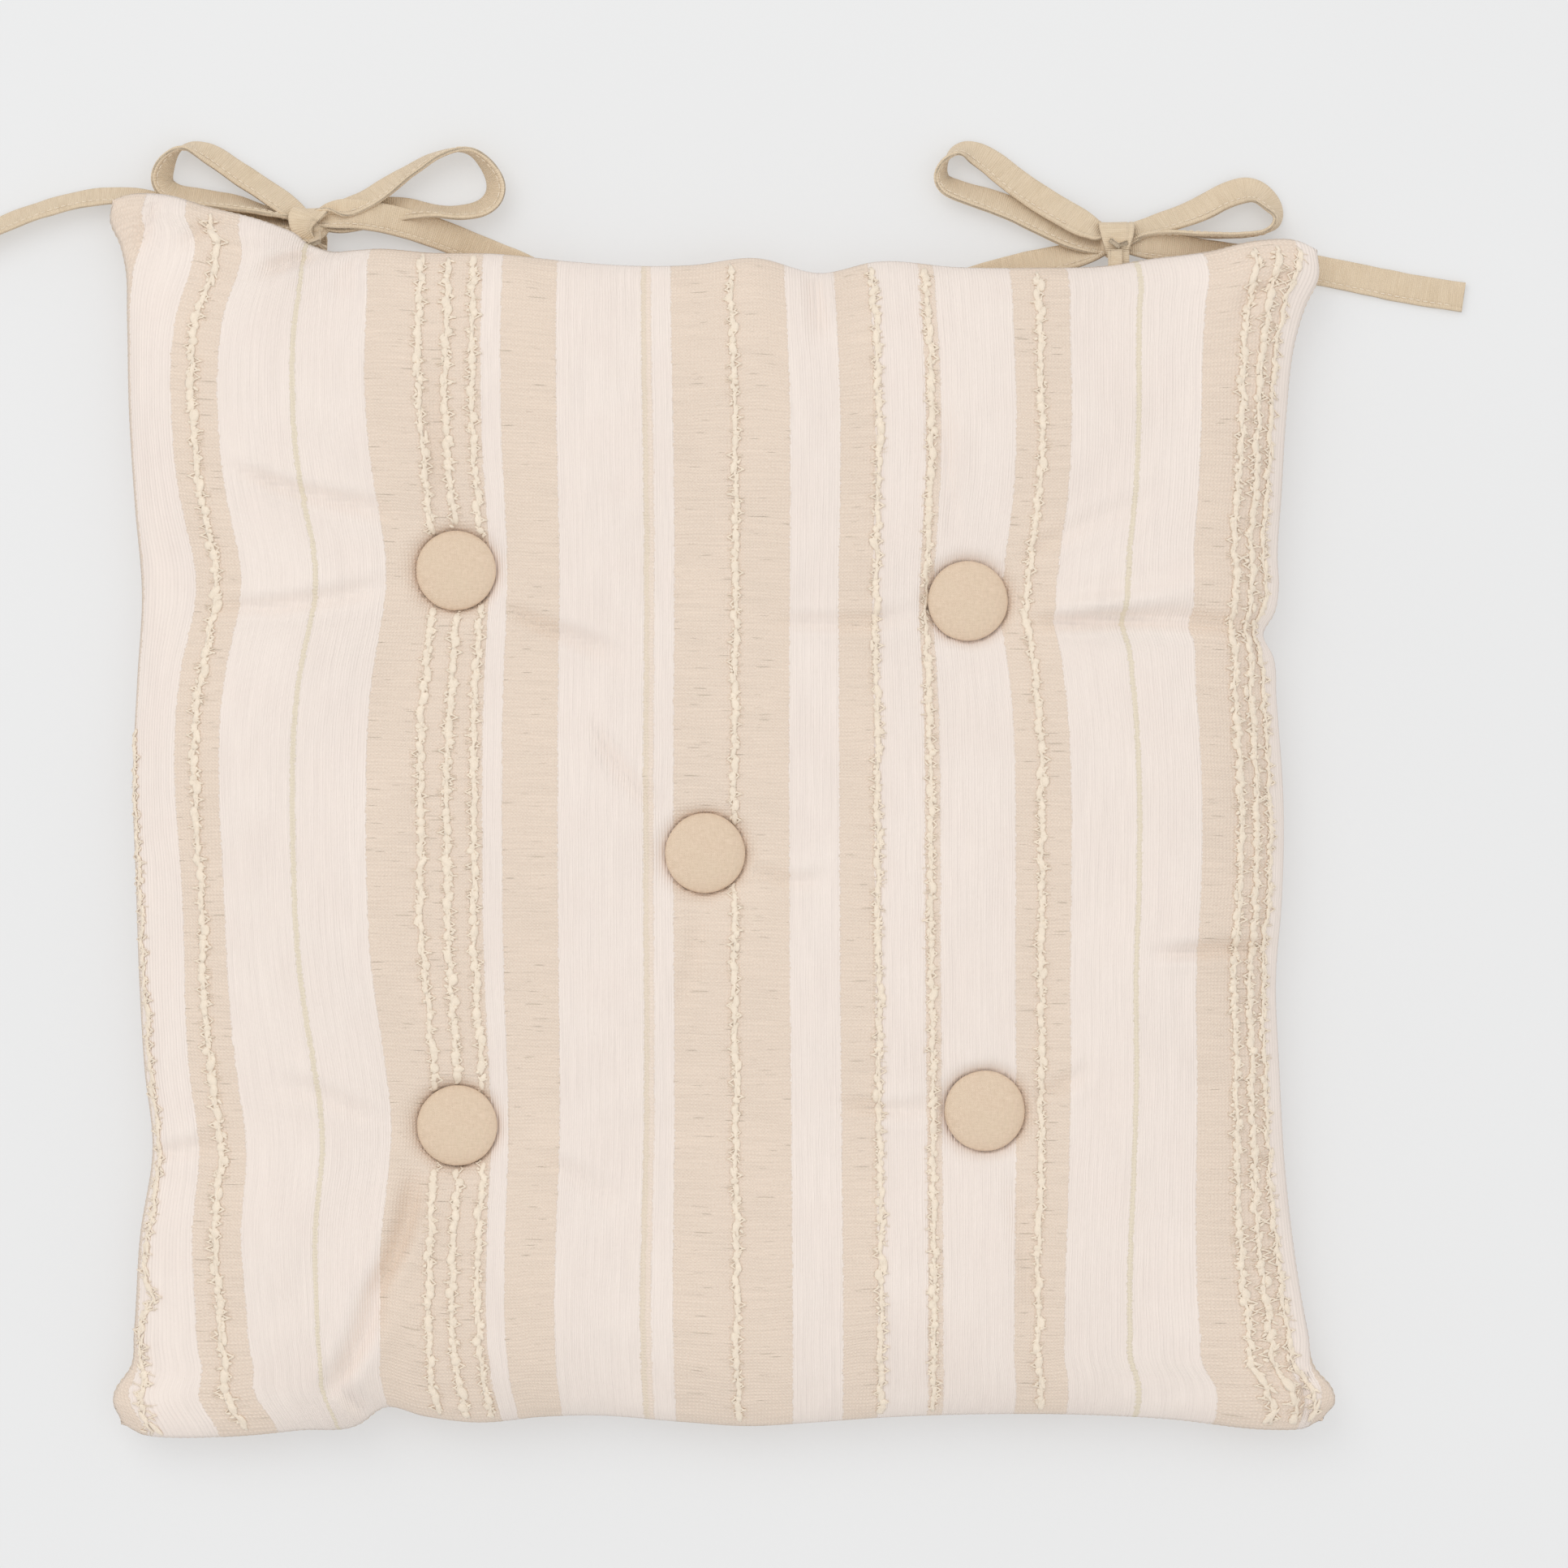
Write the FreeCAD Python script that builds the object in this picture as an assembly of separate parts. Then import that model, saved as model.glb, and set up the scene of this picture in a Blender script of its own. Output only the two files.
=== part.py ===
"""A tufted chair seat pad: a striped cloth case with fibre filling, five covered buttons and two bows.

Millimetres. The origin is the middle of the face that the pad rests on, +Z is up and +Y is the back
edge, where the ties are sewn in. Each sub-part is one node, written to parts/NODE.step.
"""

import FreeCAD
import Part

import math
import os

from FreeCAD import Vector

# The filled pad
PAD_WIDTH = 412.0  # along X, between the tips of the corners
PAD_DEPTH = 412.0  # along Y, between the tips of the corners
PAD_HEIGHT = 40.0  # crown height
SEAM_HEIGHT = 16.0  # height of the seam above the resting face
SIDE_PULL_IN = 7.0  # how far a side's middle is pulled in from its corners
CORNER_RADIUS = 12.0  # of the seam at a corner
UNDERCUT = 30.0  # from the seam in to where the lower panel rests
SHOULDER_IN = 7.0  # from the seam in to the shoulder of the upper panel
SHOULDER_HEIGHT = 30.0
CROWN_IN = 40.0  # from the seam in to where the crown begins

# The case
CLOTH = 0.9  # thickness of the woven panels
SEAM_ALLOWANCE = 10.0  # turned in at the seam
THREAD = 0.5  # sewing thread

# The five tufts
TUFT_PITCH = 176.0  # between the corner tufts, both ways
TUFT_STRAY = {  # how far each tuft is sewn from its place in the pattern
    "back_left": (-0.5, 2.5),
    "back_right": (-1.0, -8.0),
    "centre": (-3.0, -6.5),
    "front_left": (0.5, -11.5),
    "front_right": (4.5, -6.5),
}
DIMPLE_SLOPE = 28.0  # degrees, of the cloth round a tuft
DIMPLE_SEAT = 27.5  # height that a button sits at
WELL_RADIUS = 4.5  # the pocket that the button's eye sinks into
WELL_DEPTH = 7.0
RECESS_TOP = 8.0  # height that a backing button presses the lower panel up to
RECESS_SLOPE = 25.0  # degrees

# A covered button
BUTTON_RADIUS = 13.7
BUTTON_DOME = 5.5  # height at the middle
BUTTON_RIM = 2.2  # height of the straight rim
COVER_CLOTH = 0.6
COVER_TUCK = 3.0  # how far the cover is turned in under the rim
SHELL_WALL = 0.5
PLATE = 1.0  # thickness of the back plate
PRESS_GAP = 0.05  # round the back plate
EYE_WIRE = 1.0  # diameter of the wire eye
EYE_RADIUS = 1.9  # to the middle of its wire
TWINE = 1.8  # diameter of the tufting twine
TWINE_LOOP = 1.7  # radius of the loop through the eye, to the middle of its strand
BACKING_RADIUS = 6.5
BACKING = 2.0  # thickness of a backing button
KNOT_RADIUS = 2.4  # of the knot under a backing button
KNOT_HEIGHT = 2.0

# The ties
TAPE_WIDTH = 10.5
TAPE = 1.6  # thickness of the folded and stitched tape
TIE_X = 140.0  # from the middle to each pair of ties
TAB_INSIDE = 11.0  # length of a tie that is caught in the seam
TAB_OUTSIDE = 0.6
KNOT_OUT = 11.0  # from the hinge line to the middle of a bow's knot
BOW_KNOT = (13.0, 12.5, 12.8)
BOW_ROUNDING = 3.0
BOW_LIFT = 0.3  # tape above the surface that the pad lies on
LAYER_GAP = 0.4  # between a tail and the loops above it

CLEARANCE = 0.3  # between pieces that move on each other

# Routes of the four loops and four tails, as they lie behind the back edge. The loops stand on edge.
LEFT_OUTER_LOOP = [
    (-146, 218), (-154.5, 225), (-165.5, 232.4), (-177, 238.3), (-186, 238), (-192, 231.5),
    (-192.3, 223.5), (-186.5, 217.8), (-177, 215), (-165.5, 213.8), (-155, 214.3), (-146, 215.8),
]
LEFT_INNER_LOOP = [
    (-134, 217.5), (-123.5, 224), (-112, 230), (-100, 234.5), (-89.5, 236), (-81, 233), (-76.5, 226),
    (-78, 218.5), (-85.5, 214.2), (-95, 212.6), (-106.5, 212), (-118, 212.4), (-127.5, 213.6),
    (-135, 215.3),
]
LEFT_OUTER_TAIL = [
    (-146, 212), (-160, 215.8), (-176, 219.6), (-193, 222.8), (-210, 224), (-226, 221.6),
    (-241, 216.5), (-254.5, 210.5), (-266, 204),
]
LEFT_INNER_TAIL = [
    (-134, 213.5), (-122, 214), (-108, 212.6), (-92, 208.8), (-75.5, 203), (-60.5, 196), (-47, 188.5),
]
RIGHT_INNER_LOOP = [
    (134, 217.5), (124.5, 224.5), (113.5, 232), (102, 238.5), (92.5, 241), (84.5, 239), (79.5, 233),
    (80, 225.5), (85.5, 220), (94.5, 216.8), (106, 215), (118, 214.5), (128, 215), (135, 216),
]
RIGHT_OUTER_LOOP = [
    (146, 218), (156, 222.5), (168, 226.6), (179.5, 229), (188.5, 228), (194.5, 223.2),
    (195.8, 215.8), (191.5, 209.8), (184, 207), (174, 206.6), (163, 207.8), (153.5, 210), (146, 212.6),
]
RIGHT_OUTER_TAIL = [
    (146, 209), (158, 208), (172, 206), (188, 203), (205, 199), (222, 194.2), (239, 190.6),
    (253, 189), (261.5, 188.8),
]
RIGHT_INNER_TAIL = [
    (134, 210), (122, 207.5), (108, 203.5), (93, 198), (78, 191.5), (64.5, 184.5),
]


# ---------------------------------------------------------------- the pad's form


def profile(inside):
    """The pad's edge in section, as (distance in from the seam, height), moved inwards by inside."""
    points = [
        (UNDERCUT, 0.0),
        (0.0, SEAM_HEIGHT),
        (SHOULDER_IN, SHOULDER_HEIGHT),
        (CROWN_IN, PAD_HEIGHT),
    ]
    # The resting face and the crown are the first and last lines, so the chain has a point past each end
    chain = [(UNDERCUT + 1, 0.0)] + points + [(CROWN_IN + 1, PAD_HEIGHT)]
    lines = []
    for (s0, z0), (s1, z1) in zip(chain, chain[1:]):
        length = math.hypot(s1 - s0, z1 - z0)
        ds, dz = (s1 - s0) / length, (z1 - z0) / length
        lines.append(((s0 + inside * dz, z0 - inside * ds), (ds, dz)))
    return [crossing(a, b) for a, b in zip(lines, lines[1:])]


def crossing(first, second):
    """Where two lines meet, each given as (point, direction)."""
    (x0, y0), (dx0, dy0) = first
    (x1, y1), (dx1, dy1) = second
    along = ((x1 - x0) * dy1 - (y1 - y0) * dx1) / (dx0 * dy1 - dy0 * dx1)
    return (x0 + along * dx0, y0 + along * dy0)


def outline(inset, z, radius):
    """The pad's outline at one height: four pulled-in sides and four round corners."""
    a = PAD_WIDTH / 2 - inset
    b = PAD_DEPTH / 2 - inset
    slant = radius * math.sqrt(0.5)
    edges = []
    for sx, sy in ((1, 1), (-1, 1), (-1, -1), (1, -1)):
        on_side = Vector(sx * a, sy * (b - radius), z)
        on_end = Vector(sx * (a - radius), sy * b, z)
        middle = Vector(sx * (a - radius + slant), sy * (b - radius + slant), z)
        start, end = (on_side, on_end) if sx == sy else (on_end, on_side)
        edges.append(Part.Arc(start, middle, end).toShape())
        if sx == sy:
            far = Vector(-sx * (a - radius), sy * b, z)
            pulled = Vector(0, sy * (b - SIDE_PULL_IN), z)
        else:
            far = Vector(sx * a, -sy * (b - radius), z)
            pulled = Vector(sx * (a - SIDE_PULL_IN), 0, z)
        edges.append(Part.Arc(end, pulled, far).toShape())
    return Part.Wire(edges)


def pad_form(inside):
    """The filled pad with its tuft dimples, as one solid whose faces lie inside by the given distance."""
    sections = []
    for (seam_in, _), (s, z) in zip(profile(0.0), profile(inside)):
        radius = CORNER_RADIUS + seam_in - (s - seam_in)
        sections.append(outline(s, z, radius))
    form = Part.makeLoft(sections, True, True)
    for x, y in tuft_places().values():
        form = form.cut(dimple(inside).translated(Vector(x, y, 0)))
        form = form.cut(recess(inside).translated(Vector(x, y, 0)))
    return form


def revolved(points):
    """A solid turned about Z from a closed outline of (radius, height) points."""
    corners = [Vector(r, 0, z) for r, z in points]
    face = Part.Face(Part.makePolygon(corners + corners[:1]))
    return face.revolve(Vector(0, 0, 0), Vector(0, 0, 1), 360)


def tuft_places():
    """Name to (x, y) of the five tufts, four at the corners of a square and one in its middle."""
    half = TUFT_PITCH / 2
    pattern = {
        "back_left": (-half, half),
        "back_right": (half, half),
        "centre": (0.0, 0.0),
        "front_left": (-half, -half),
        "front_right": (half, -half),
    }
    return {n: (x + TUFT_STRAY[n][0], y + TUFT_STRAY[n][1]) for n, (x, y) in pattern.items()}


def dimple(inside):
    """What a tuft takes from the crown: a cone down to the button's seat, and the eye's pocket."""
    slope = math.radians(DIMPLE_SLOPE)
    seat = DIMPLE_SEAT - inside
    seat_radius = BUTTON_RADIUS + 1.0 + inside * math.tan(slope / 2)
    top = PAD_HEIGHT + 1.0
    mouth_radius = seat_radius + (top - seat) / math.tan(slope)
    floor = DIMPLE_SEAT - WELL_DEPTH - inside
    well = WELL_RADIUS + inside
    return revolved(
        [(0, floor), (well, floor), (well, seat), (seat_radius, seat), (mouth_radius, top), (0, top)]
    )


def recess(inside):
    """What a tuft takes from the underside: a cone up to the backing button."""
    slope = math.radians(RECESS_SLOPE)
    seat = RECESS_TOP + inside
    seat_radius = BACKING_RADIUS + 1.0 + inside * math.tan(slope / 2)
    mouth_radius = seat_radius + (seat + 1.0) / math.tan(slope)
    return revolved([(0, -1.0), (mouth_radius, -1.0), (seat_radius, seat), (0, seat)])


def seam_y(x):
    """The back seam's Y at x: the arc through the back corners and the pulled-in middle."""
    reach = PAD_WIDTH / 2 - CORNER_RADIUS
    radius = (reach**2 + SIDE_PULL_IN**2) / (2 * SIDE_PULL_IN)
    return PAD_DEPTH / 2 - SIDE_PULL_IN + radius - math.sqrt(radius**2 - x**2)


# ---------------------------------------------------------------- the case and its filling


def ring(inset_out, inset_in, z_low, z_high):
    """A flat ring that follows the seam, between two distances in from it."""
    height = Vector(0, 0, z_high - z_low)
    outer = Part.Face(outline(inset_out, z_low, CORNER_RADIUS - inset_out)).extrude(height)
    inner = Part.Face(outline(inset_in, z_low, CORNER_RADIUS - inset_in)).extrude(height)
    return outer.cut(inner)


def half_space(above):
    """A block that holds everything above the seam, or everything below it."""
    low = SEAM_HEIGHT if above else -1.0
    high = PAD_HEIGHT + 1.0 if above else SEAM_HEIGHT
    corner = Vector(-PAD_WIDTH, -PAD_DEPTH, low)
    return Part.makeBox(2 * PAD_WIDTH, 2 * PAD_DEPTH, high - low, corner)


def seam_inner_edge():
    """How far in from the seam the case's inner faces meet."""
    return profile(CLOTH)[1][0]


def seam_thread():
    """The seam's thread, between both turned-in edges just inside the case's inner corner."""
    start = seam_inner_edge() + THREAD
    return ring(start, start + THREAD, SEAM_HEIGHT - THREAD / 2, SEAM_HEIGHT + THREAD / 2)


def tie_tab(x):
    """The ends of one pair of ties, caught in the back seam."""
    y = seam_y(x)
    corner = Vector(x - TAPE_WIDTH / 2, y - TAB_INSIDE, SEAM_HEIGHT - TAPE)
    return Part.makeBox(TAPE_WIDTH, TAB_INSIDE + TAB_OUTSIDE, 2 * TAPE, corner)


def twine_holes():
    """The holes that the twines are drawn through."""
    hole = Part.makeCylinder(TWINE / 2 + CLEARANCE, PAD_HEIGHT + 2.0, Vector(0, 0, -1.0))
    return [hole.translated(Vector(x, y, 0)) for x, y in tuft_places().values()]


def case_parts():
    """The two panels with their turned-in edges, the filling, the thread and the tie ends in the seam."""
    outer = pad_form(0.0)
    inner = pad_form(CLOTH)
    shell = outer.cut(inner)
    thread = seam_thread()
    tabs = {"left_tie_tab": tie_tab(-TIE_X).cut(thread), "right_tie_tab": tie_tab(TIE_X).cut(thread)}
    taken = [thread] + list(tabs.values()) + twine_holes()

    start = seam_inner_edge() / 2  # inside the wall, so that the turned-in edge joins it
    end = seam_inner_edge() + SEAM_ALLOWANCE
    upper_edge = ring(start, end, SEAM_HEIGHT, SEAM_HEIGHT + CLOTH)
    lower_edge = ring(start, end, SEAM_HEIGHT - CLOTH, SEAM_HEIGHT)
    upper_edge = upper_edge.common(outer)
    lower_edge = lower_edge.common(outer)

    parts = {
        "top_panel": shell.common(half_space(True)).fuse(upper_edge).cut(taken),
        "bottom_panel": shell.common(half_space(False)).fuse(lower_edge).cut(taken),
        "fibre_filling": inner.cut([upper_edge, lower_edge] + taken),
        "seam_thread": thread,
    }
    parts.update(tabs)
    return parts


# ---------------------------------------------------------------- a tuft


def dome(radius, rim, crown, base):
    """A solid cap: a straight rim from base up to rim, then a round dome up to crown."""
    rise = crown - rim
    half = radius * 0.5
    # The arc from the rim to the middle, through a point on the same circle
    circle = (radius**2 + rise**2) / (2 * rise)
    half_height = crown - circle + math.sqrt(circle**2 - half**2)
    arc = Part.Arc(Vector(radius, 0, rim), Vector(half, 0, half_height), Vector(0, 0, crown))
    lines = [(0, crown), (0, base), (radius, base), (radius, rim)]
    corners = [Vector(r, 0, z) for r, z in lines]
    edges = [Part.LineSegment(a, b).toShape() for a, b in zip(corners, corners[1:])]
    face = Part.Face(Part.Wire([arc.toShape()] + edges))
    return face.revolve(Vector(0, 0, 0), Vector(0, 0, 1), 360)


def disc(radius, z_low, z_high):
    return Part.makeCylinder(radius, z_high - z_low, Vector(0, 0, z_low))


def button_parts(base):
    """Cover, shell, back plate and wire eye of a button whose underside is at base."""
    cover_inner = BUTTON_RADIUS - COVER_CLOTH
    shell_inner = cover_inner - SHELL_WALL
    tuck_radius = shell_inner - COVER_TUCK
    rim = base + BUTTON_RIM
    crown = base + BUTTON_DOME
    tucked = base + COVER_CLOTH
    plate_low = tucked + PRESS_GAP

    solid = dome(BUTTON_RADIUS, rim, crown, base)
    hollow = dome(cover_inner, rim, crown - COVER_CLOTH, tucked)
    cover = solid.cut([hollow, disc(tuck_radius, base - 1, tucked + 1)])

    inside = dome(shell_inner, rim, crown - COVER_CLOTH - SHELL_WALL, tucked - 1)
    shell = hollow.cut(inside)

    plate = disc(shell_inner - PRESS_GAP, plate_low, plate_low + PLATE)

    eye = Part.makeTorus(
        EYE_RADIUS, EYE_WIRE / 2, Vector(0, 0, plate_low - EYE_RADIUS), Vector(0, 1, 0)
    )
    lower_half = Part.makeBox(20, 20, 20, Vector(-10, -10, plate_low - EYE_RADIUS - 20))
    eye = eye.common(lower_half)
    for side in (-1, 1):
        foot = Vector(side * EYE_RADIUS, 0, plate_low - EYE_RADIUS)
        eye = eye.fuse(Part.makeCylinder(EYE_WIRE / 2, EYE_RADIUS, foot))
    return {
        "button_cover": cover,
        "button_shell": shell,
        "button_plate": plate,
        "wire_eye": eye.removeSplitter(),
    }


def tuft_parts():
    """One tuft on the Z axis: a covered button, its twine and the backing button below the pad."""
    base = DIMPLE_SEAT + CLEARANCE
    parts = button_parts(base)

    eye_bottom = base + COVER_CLOTH + PRESS_GAP - 2 * EYE_RADIUS
    strand = EYE_WIRE / 2
    # The loop hangs on the eye's lowest point, half of PRESS_GAP above its wire
    loop_z = eye_bottom + EYE_WIRE / 2 + PRESS_GAP + strand - TWINE_LOOP
    loop = Part.makeTorus(TWINE_LOOP, strand, Vector(0, 0, loop_z), Vector(1, 0, 0))
    twine_top = loop_z - TWINE_LOOP
    backing_top = RECESS_TOP - CLEARANCE
    backing_low = backing_top - BACKING
    twine = disc(TWINE / 2, backing_low, twine_top)
    knot = disc(KNOT_RADIUS, backing_low - KNOT_HEIGHT, backing_low)
    parts["twine"] = loop.fuse([twine, knot]).removeSplitter()

    backing = disc(BACKING_RADIUS, backing_low, backing_top)
    parts["backing_button"] = backing.cut(disc(TWINE / 2, backing_low, backing_top))
    return parts


# ---------------------------------------------------------------- the ties


def arcs_of(points):
    """The route's corners as (arc start, arc end, centre, radius, turn), with a tangent arc at each."""
    found = []
    for before, at, after in zip(points, points[1:], points[2:]):
        a, b, c = Vector(*before, 0), Vector(*at, 0), Vector(*after, 0)
        arriving, leaving = (b - a), (c - b)
        shorter = min(arriving.Length, leaving.Length)
        turn = arriving.getAngle(leaving)
        side = 1 if arriving.cross(leaving).z > 0 else -1
        radius = 0.45 * shorter / math.tan(turn / 2)
        arriving.normalize()
        leaving.normalize()
        start = b - arriving * 0.45 * shorter
        end = b + leaving * 0.45 * shorter
        centre = start + Vector(-arriving.y, arriving.x, 0) * side * radius
        found.append((start, end, centre, radius, turn))
    return found


def slab(corners, z_low, height):
    """A prism on four or more straight-sided corners."""
    wire = Part.makePolygon([Vector(p.x, p.y, z_low) for p in corners + corners[:1]])
    return Part.Face(wire).extrude(Vector(0, 0, height))


def straight(start, end, width, z_low, height):
    """A bar of the given plan width from start to end."""
    along = (end - start).normalize()
    side = Vector(-along.y, along.x, 0) * (width / 2)
    return slab([start + side, end + side, end - side, start - side], z_low, height)


def bend(start, end, centre, radius, width, z_low, height):
    """A bar of the given plan width round an arc."""
    lift = Vector(0, 0, z_low)
    to_start = (start - centre).normalize()
    to_end = (end - centre).normalize()
    to_middle = (to_start + to_end).normalize()
    near, far = radius - width / 2, radius + width / 2
    rays = (to_start, to_middle, to_end)
    inner = [centre + ray * near + lift for ray in rays]
    outer = [centre + ray * far + lift for ray in rays]
    edges = [
        Part.Arc(*inner).toShape(),
        Part.LineSegment(inner[2], outer[2]).toShape(),
        Part.Arc(outer[2], outer[1], outer[0]).toShape(),
        Part.LineSegment(outer[0], inner[0]).toShape(),
    ]
    return Part.Face(Part.Wire(edges)).extrude(Vector(0, 0, height))


def tape_along(name, points, width, z_low, height):
    """A tape along a route of straight runs joined by tangent arcs. Prints its length and radii."""
    arcs = arcs_of(points)
    ends = [Vector(*points[0], 0)] + [p for arc in arcs for p in arc[:2]] + [Vector(*points[-1], 0)]
    pieces = []
    length = 0.0
    for start, end in zip(ends[0::2], ends[1::2]):
        pieces.append(straight(start, end, width, z_low, height))
        length += (end - start).Length
    for start, end, centre, radius, turn in arcs:
        pieces.append(bend(start, end, centre, radius, width, z_low, height))
        length += radius * turn
    solid = pieces[0].fuse(pieces[1:]).removeSplitter()
    radii = ", ".join(f"{arc[3]:.1f}" for arc in arcs)
    expected = length * width * height
    print(f"{name}: length {length:.1f}, volume {solid.Volume:.1f} of {expected:.1f}, radii {radii}")
    return solid


def hinge_line(x):
    """(y, z) of the line that a pair of ties turns on, just outside the seam."""
    return seam_y(x) + TAB_OUTSIDE + CLEARANCE + TAPE, SEAM_HEIGHT


def knot_of(x):
    """The knot of one bow, a rounded block."""
    y, _ = hinge_line(x)
    width, depth, height = BOW_KNOT
    corner = Vector(x - width / 2, y + KNOT_OUT - depth / 2, BOW_LIFT)
    block = Part.makeBox(width, depth, height, corner)
    return block.makeFillet(BOW_ROUNDING, block.Edges)


def stem_of(x, knot):
    """Both ties of a pair, laid together from the hinge line down into the knot."""
    y, z = hinge_line(x)
    drop = z - BOW_KNOT[2] / 2 - BOW_LIFT
    length = math.hypot(KNOT_OUT, drop)
    bar = Part.makeBox(TAPE_WIDTH, length, 2 * TAPE, Vector(-TAPE_WIDTH / 2, 0, -TAPE))
    bar.rotate(Vector(0, 0, 0), Vector(1, 0, 0), -math.degrees(math.atan2(drop, KNOT_OUT)))
    end = Part.makeCylinder(TAPE, TAPE_WIDTH, Vector(-TAPE_WIDTH / 2, 0, 0), Vector(1, 0, 0))
    return bar.fuse(end).removeSplitter().translated(Vector(x, y, z)).cut(knot)


def bow_parts(side, x, outer_loop, inner_loop, outer_tail, inner_tail):
    """One bow: its stem, its knot, two loops on edge and two flat tails under them."""
    knot = knot_of(x)
    stem = stem_of(x, knot)
    loop_z = BOW_LIFT + TAPE + LAYER_GAP
    parts = {f"{side}_knot": knot, f"{side}_tie_stem": stem}
    for name, route in ((f"{side}_outer_loop", outer_loop), (f"{side}_inner_loop", inner_loop)):
        parts[name] = tape_along(name, route, TAPE, loop_z, TAPE_WIDTH).cut([knot, stem])
    for name, route in ((f"{side}_outer_tail", outer_tail), (f"{side}_inner_tail", inner_tail)):
        parts[name] = tape_along(name, route, TAPE_WIDTH, BOW_LIFT, TAPE).cut(knot)
    return parts


# ---------------------------------------------------------------- all of it


def all_parts():
    parts = case_parts()
    tuft = tuft_parts()
    for place, (x, y) in tuft_places().items():
        for kind, shape in tuft.items():
            parts[f"{kind}_{place}"] = shape.translated(Vector(x, y, 0))
    parts.update(
        bow_parts("left", -TIE_X, LEFT_OUTER_LOOP, LEFT_INNER_LOOP, LEFT_OUTER_TAIL, LEFT_INNER_TAIL)
    )
    parts.update(
        bow_parts(
            "right", TIE_X, RIGHT_OUTER_LOOP, RIGHT_INNER_LOOP, RIGHT_OUTER_TAIL, RIGHT_INNER_TAIL
        )
    )
    return parts


def main():
    os.makedirs("parts", exist_ok=True)
    for name, shape in all_parts().items():
        solids = shape.Solids
        body = solids[0] if len(solids) == 1 else Part.makeCompound(solids)
        print(f"{name}: {len(solids)} solid, valid {body.isValid()}, volume {body.Volume:.1f}")
        body.exportStep(f"parts/{name}.step")
    for x in (-TIE_X, TIE_X):
        print("hinge line at x", x, "y, z", hinge_line(x))


main()
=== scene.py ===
"""Looks of the tufted chair seat pad: striped cotton case, five covered buttons and two tie bows,
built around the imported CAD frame.

Lengths are in millimetres here and turn into metres when a mesh is made."""
import math

import bpy
import numpy as np
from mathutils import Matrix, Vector


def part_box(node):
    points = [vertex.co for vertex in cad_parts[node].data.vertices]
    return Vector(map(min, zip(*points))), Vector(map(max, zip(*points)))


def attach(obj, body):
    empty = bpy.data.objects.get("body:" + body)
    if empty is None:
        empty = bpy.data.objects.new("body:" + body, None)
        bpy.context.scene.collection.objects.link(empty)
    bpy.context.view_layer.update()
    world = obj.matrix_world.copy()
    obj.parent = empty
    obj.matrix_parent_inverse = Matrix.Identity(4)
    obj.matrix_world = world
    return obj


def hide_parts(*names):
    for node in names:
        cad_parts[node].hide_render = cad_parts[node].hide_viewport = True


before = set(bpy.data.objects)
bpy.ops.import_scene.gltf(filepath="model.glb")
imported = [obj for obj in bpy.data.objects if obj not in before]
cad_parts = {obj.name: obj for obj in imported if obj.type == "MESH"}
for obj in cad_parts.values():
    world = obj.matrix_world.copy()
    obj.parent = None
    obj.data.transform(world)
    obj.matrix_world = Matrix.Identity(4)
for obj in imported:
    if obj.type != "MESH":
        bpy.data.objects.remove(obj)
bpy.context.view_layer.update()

MM = 0.001
TURN = 2 * math.pi
PLACES = ("back_left", "back_right", "centre", "front_left", "front_right")


# ---------------------------------------------------------------- helpers

def tuft_centre(place):
    low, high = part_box("backing_button_" + place)
    return (np.array(low) + high)[:2] / 2 / MM


TUFTS = [tuft_centre(place) for place in PLACES]


def curve(knots, x):
    """A smooth line through (place, value) pairs, read at x."""
    a, b = np.array(sorted(knots), float).T
    slope = np.gradient(b, a)
    x = np.clip(x, a[0], a[-1])
    i = np.clip(np.searchsorted(a, x) - 1, 0, len(a) - 2)
    h = a[i + 1] - a[i]
    t = (x - a[i]) / h
    return ((2 * t**3 - 3 * t**2 + 1) * b[i] + (t**3 - 2 * t**2 + t) * h * slope[i]
            + (3 * t**2 - 2 * t**3) * b[i + 1] + (t**3 - t**2) * h * slope[i + 1])


def smooth_step(x, low, high):
    t = np.clip((x - low) / (high - low), 0, 1)
    return t * t * (3 - 2 * t)


def mixed(a, b, share):
    return a * (1 - share) + b * share


def soft_min(a, b, k):
    """The lower of a and b, rounded over k where they meet."""
    k = np.maximum(k, 1e-6)
    h = np.clip(0.5 + 0.5 * (b - a) / k, 0, 1)
    return b + (a - b) * h - k * h * (1 - h)


def soft_max(a, b, k):
    return -soft_min(-a, -b, k)


def waves(x, y, scales, seed):
    """Gentle uneven ripples, the sum of a few seeded waves; scales are wavelengths."""
    r = np.random.default_rng(seed)
    total = np.zeros_like(np.asarray(x, float) + np.asarray(y, float))
    for scale in scales:
        for _ in range(3):
            angle, phase = r.uniform(0, TURN, 2)
            step = scale * r.uniform(0.75, 1.3)
            total = total + np.sin(TURN * (x * math.cos(angle) + y * math.sin(angle)) / step + phase) / 3
    return total / len(scales)


def unit(vectors):
    return vectors / np.maximum(np.linalg.norm(vectors, axis=-1)[..., None], 1e-9)


def along(line):
    """Each point's distance along a line of points."""
    return np.concatenate([[0], np.cumsum(np.linalg.norm(np.diff(line, axis=0), axis=1))])


def read_at(at, length, rows):
    """Vectors kept for the places in length, read at at."""
    return np.stack([np.interp(at, length, rows[:, k]) for k in range(3)], -1)


def tube_faces(rings, sides, first=0):
    """Faces of an open tube whose points come ring after ring."""
    return [tuple(first + k for k in (i + j, i + (j + 1) % sides, i + sides + (j + 1) % sides, i + sides + j))
            for i in range(0, (rings - 1) * sides, sides) for j in range(sides)]


def closed_tube(rings, sides, first=0):
    last = first + (rings - 1) * sides
    ends = [tuple(range(first, first + sides))[::-1], tuple(range(last, last + sides))]
    return tube_faces(rings, sides, first) + ends


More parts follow.
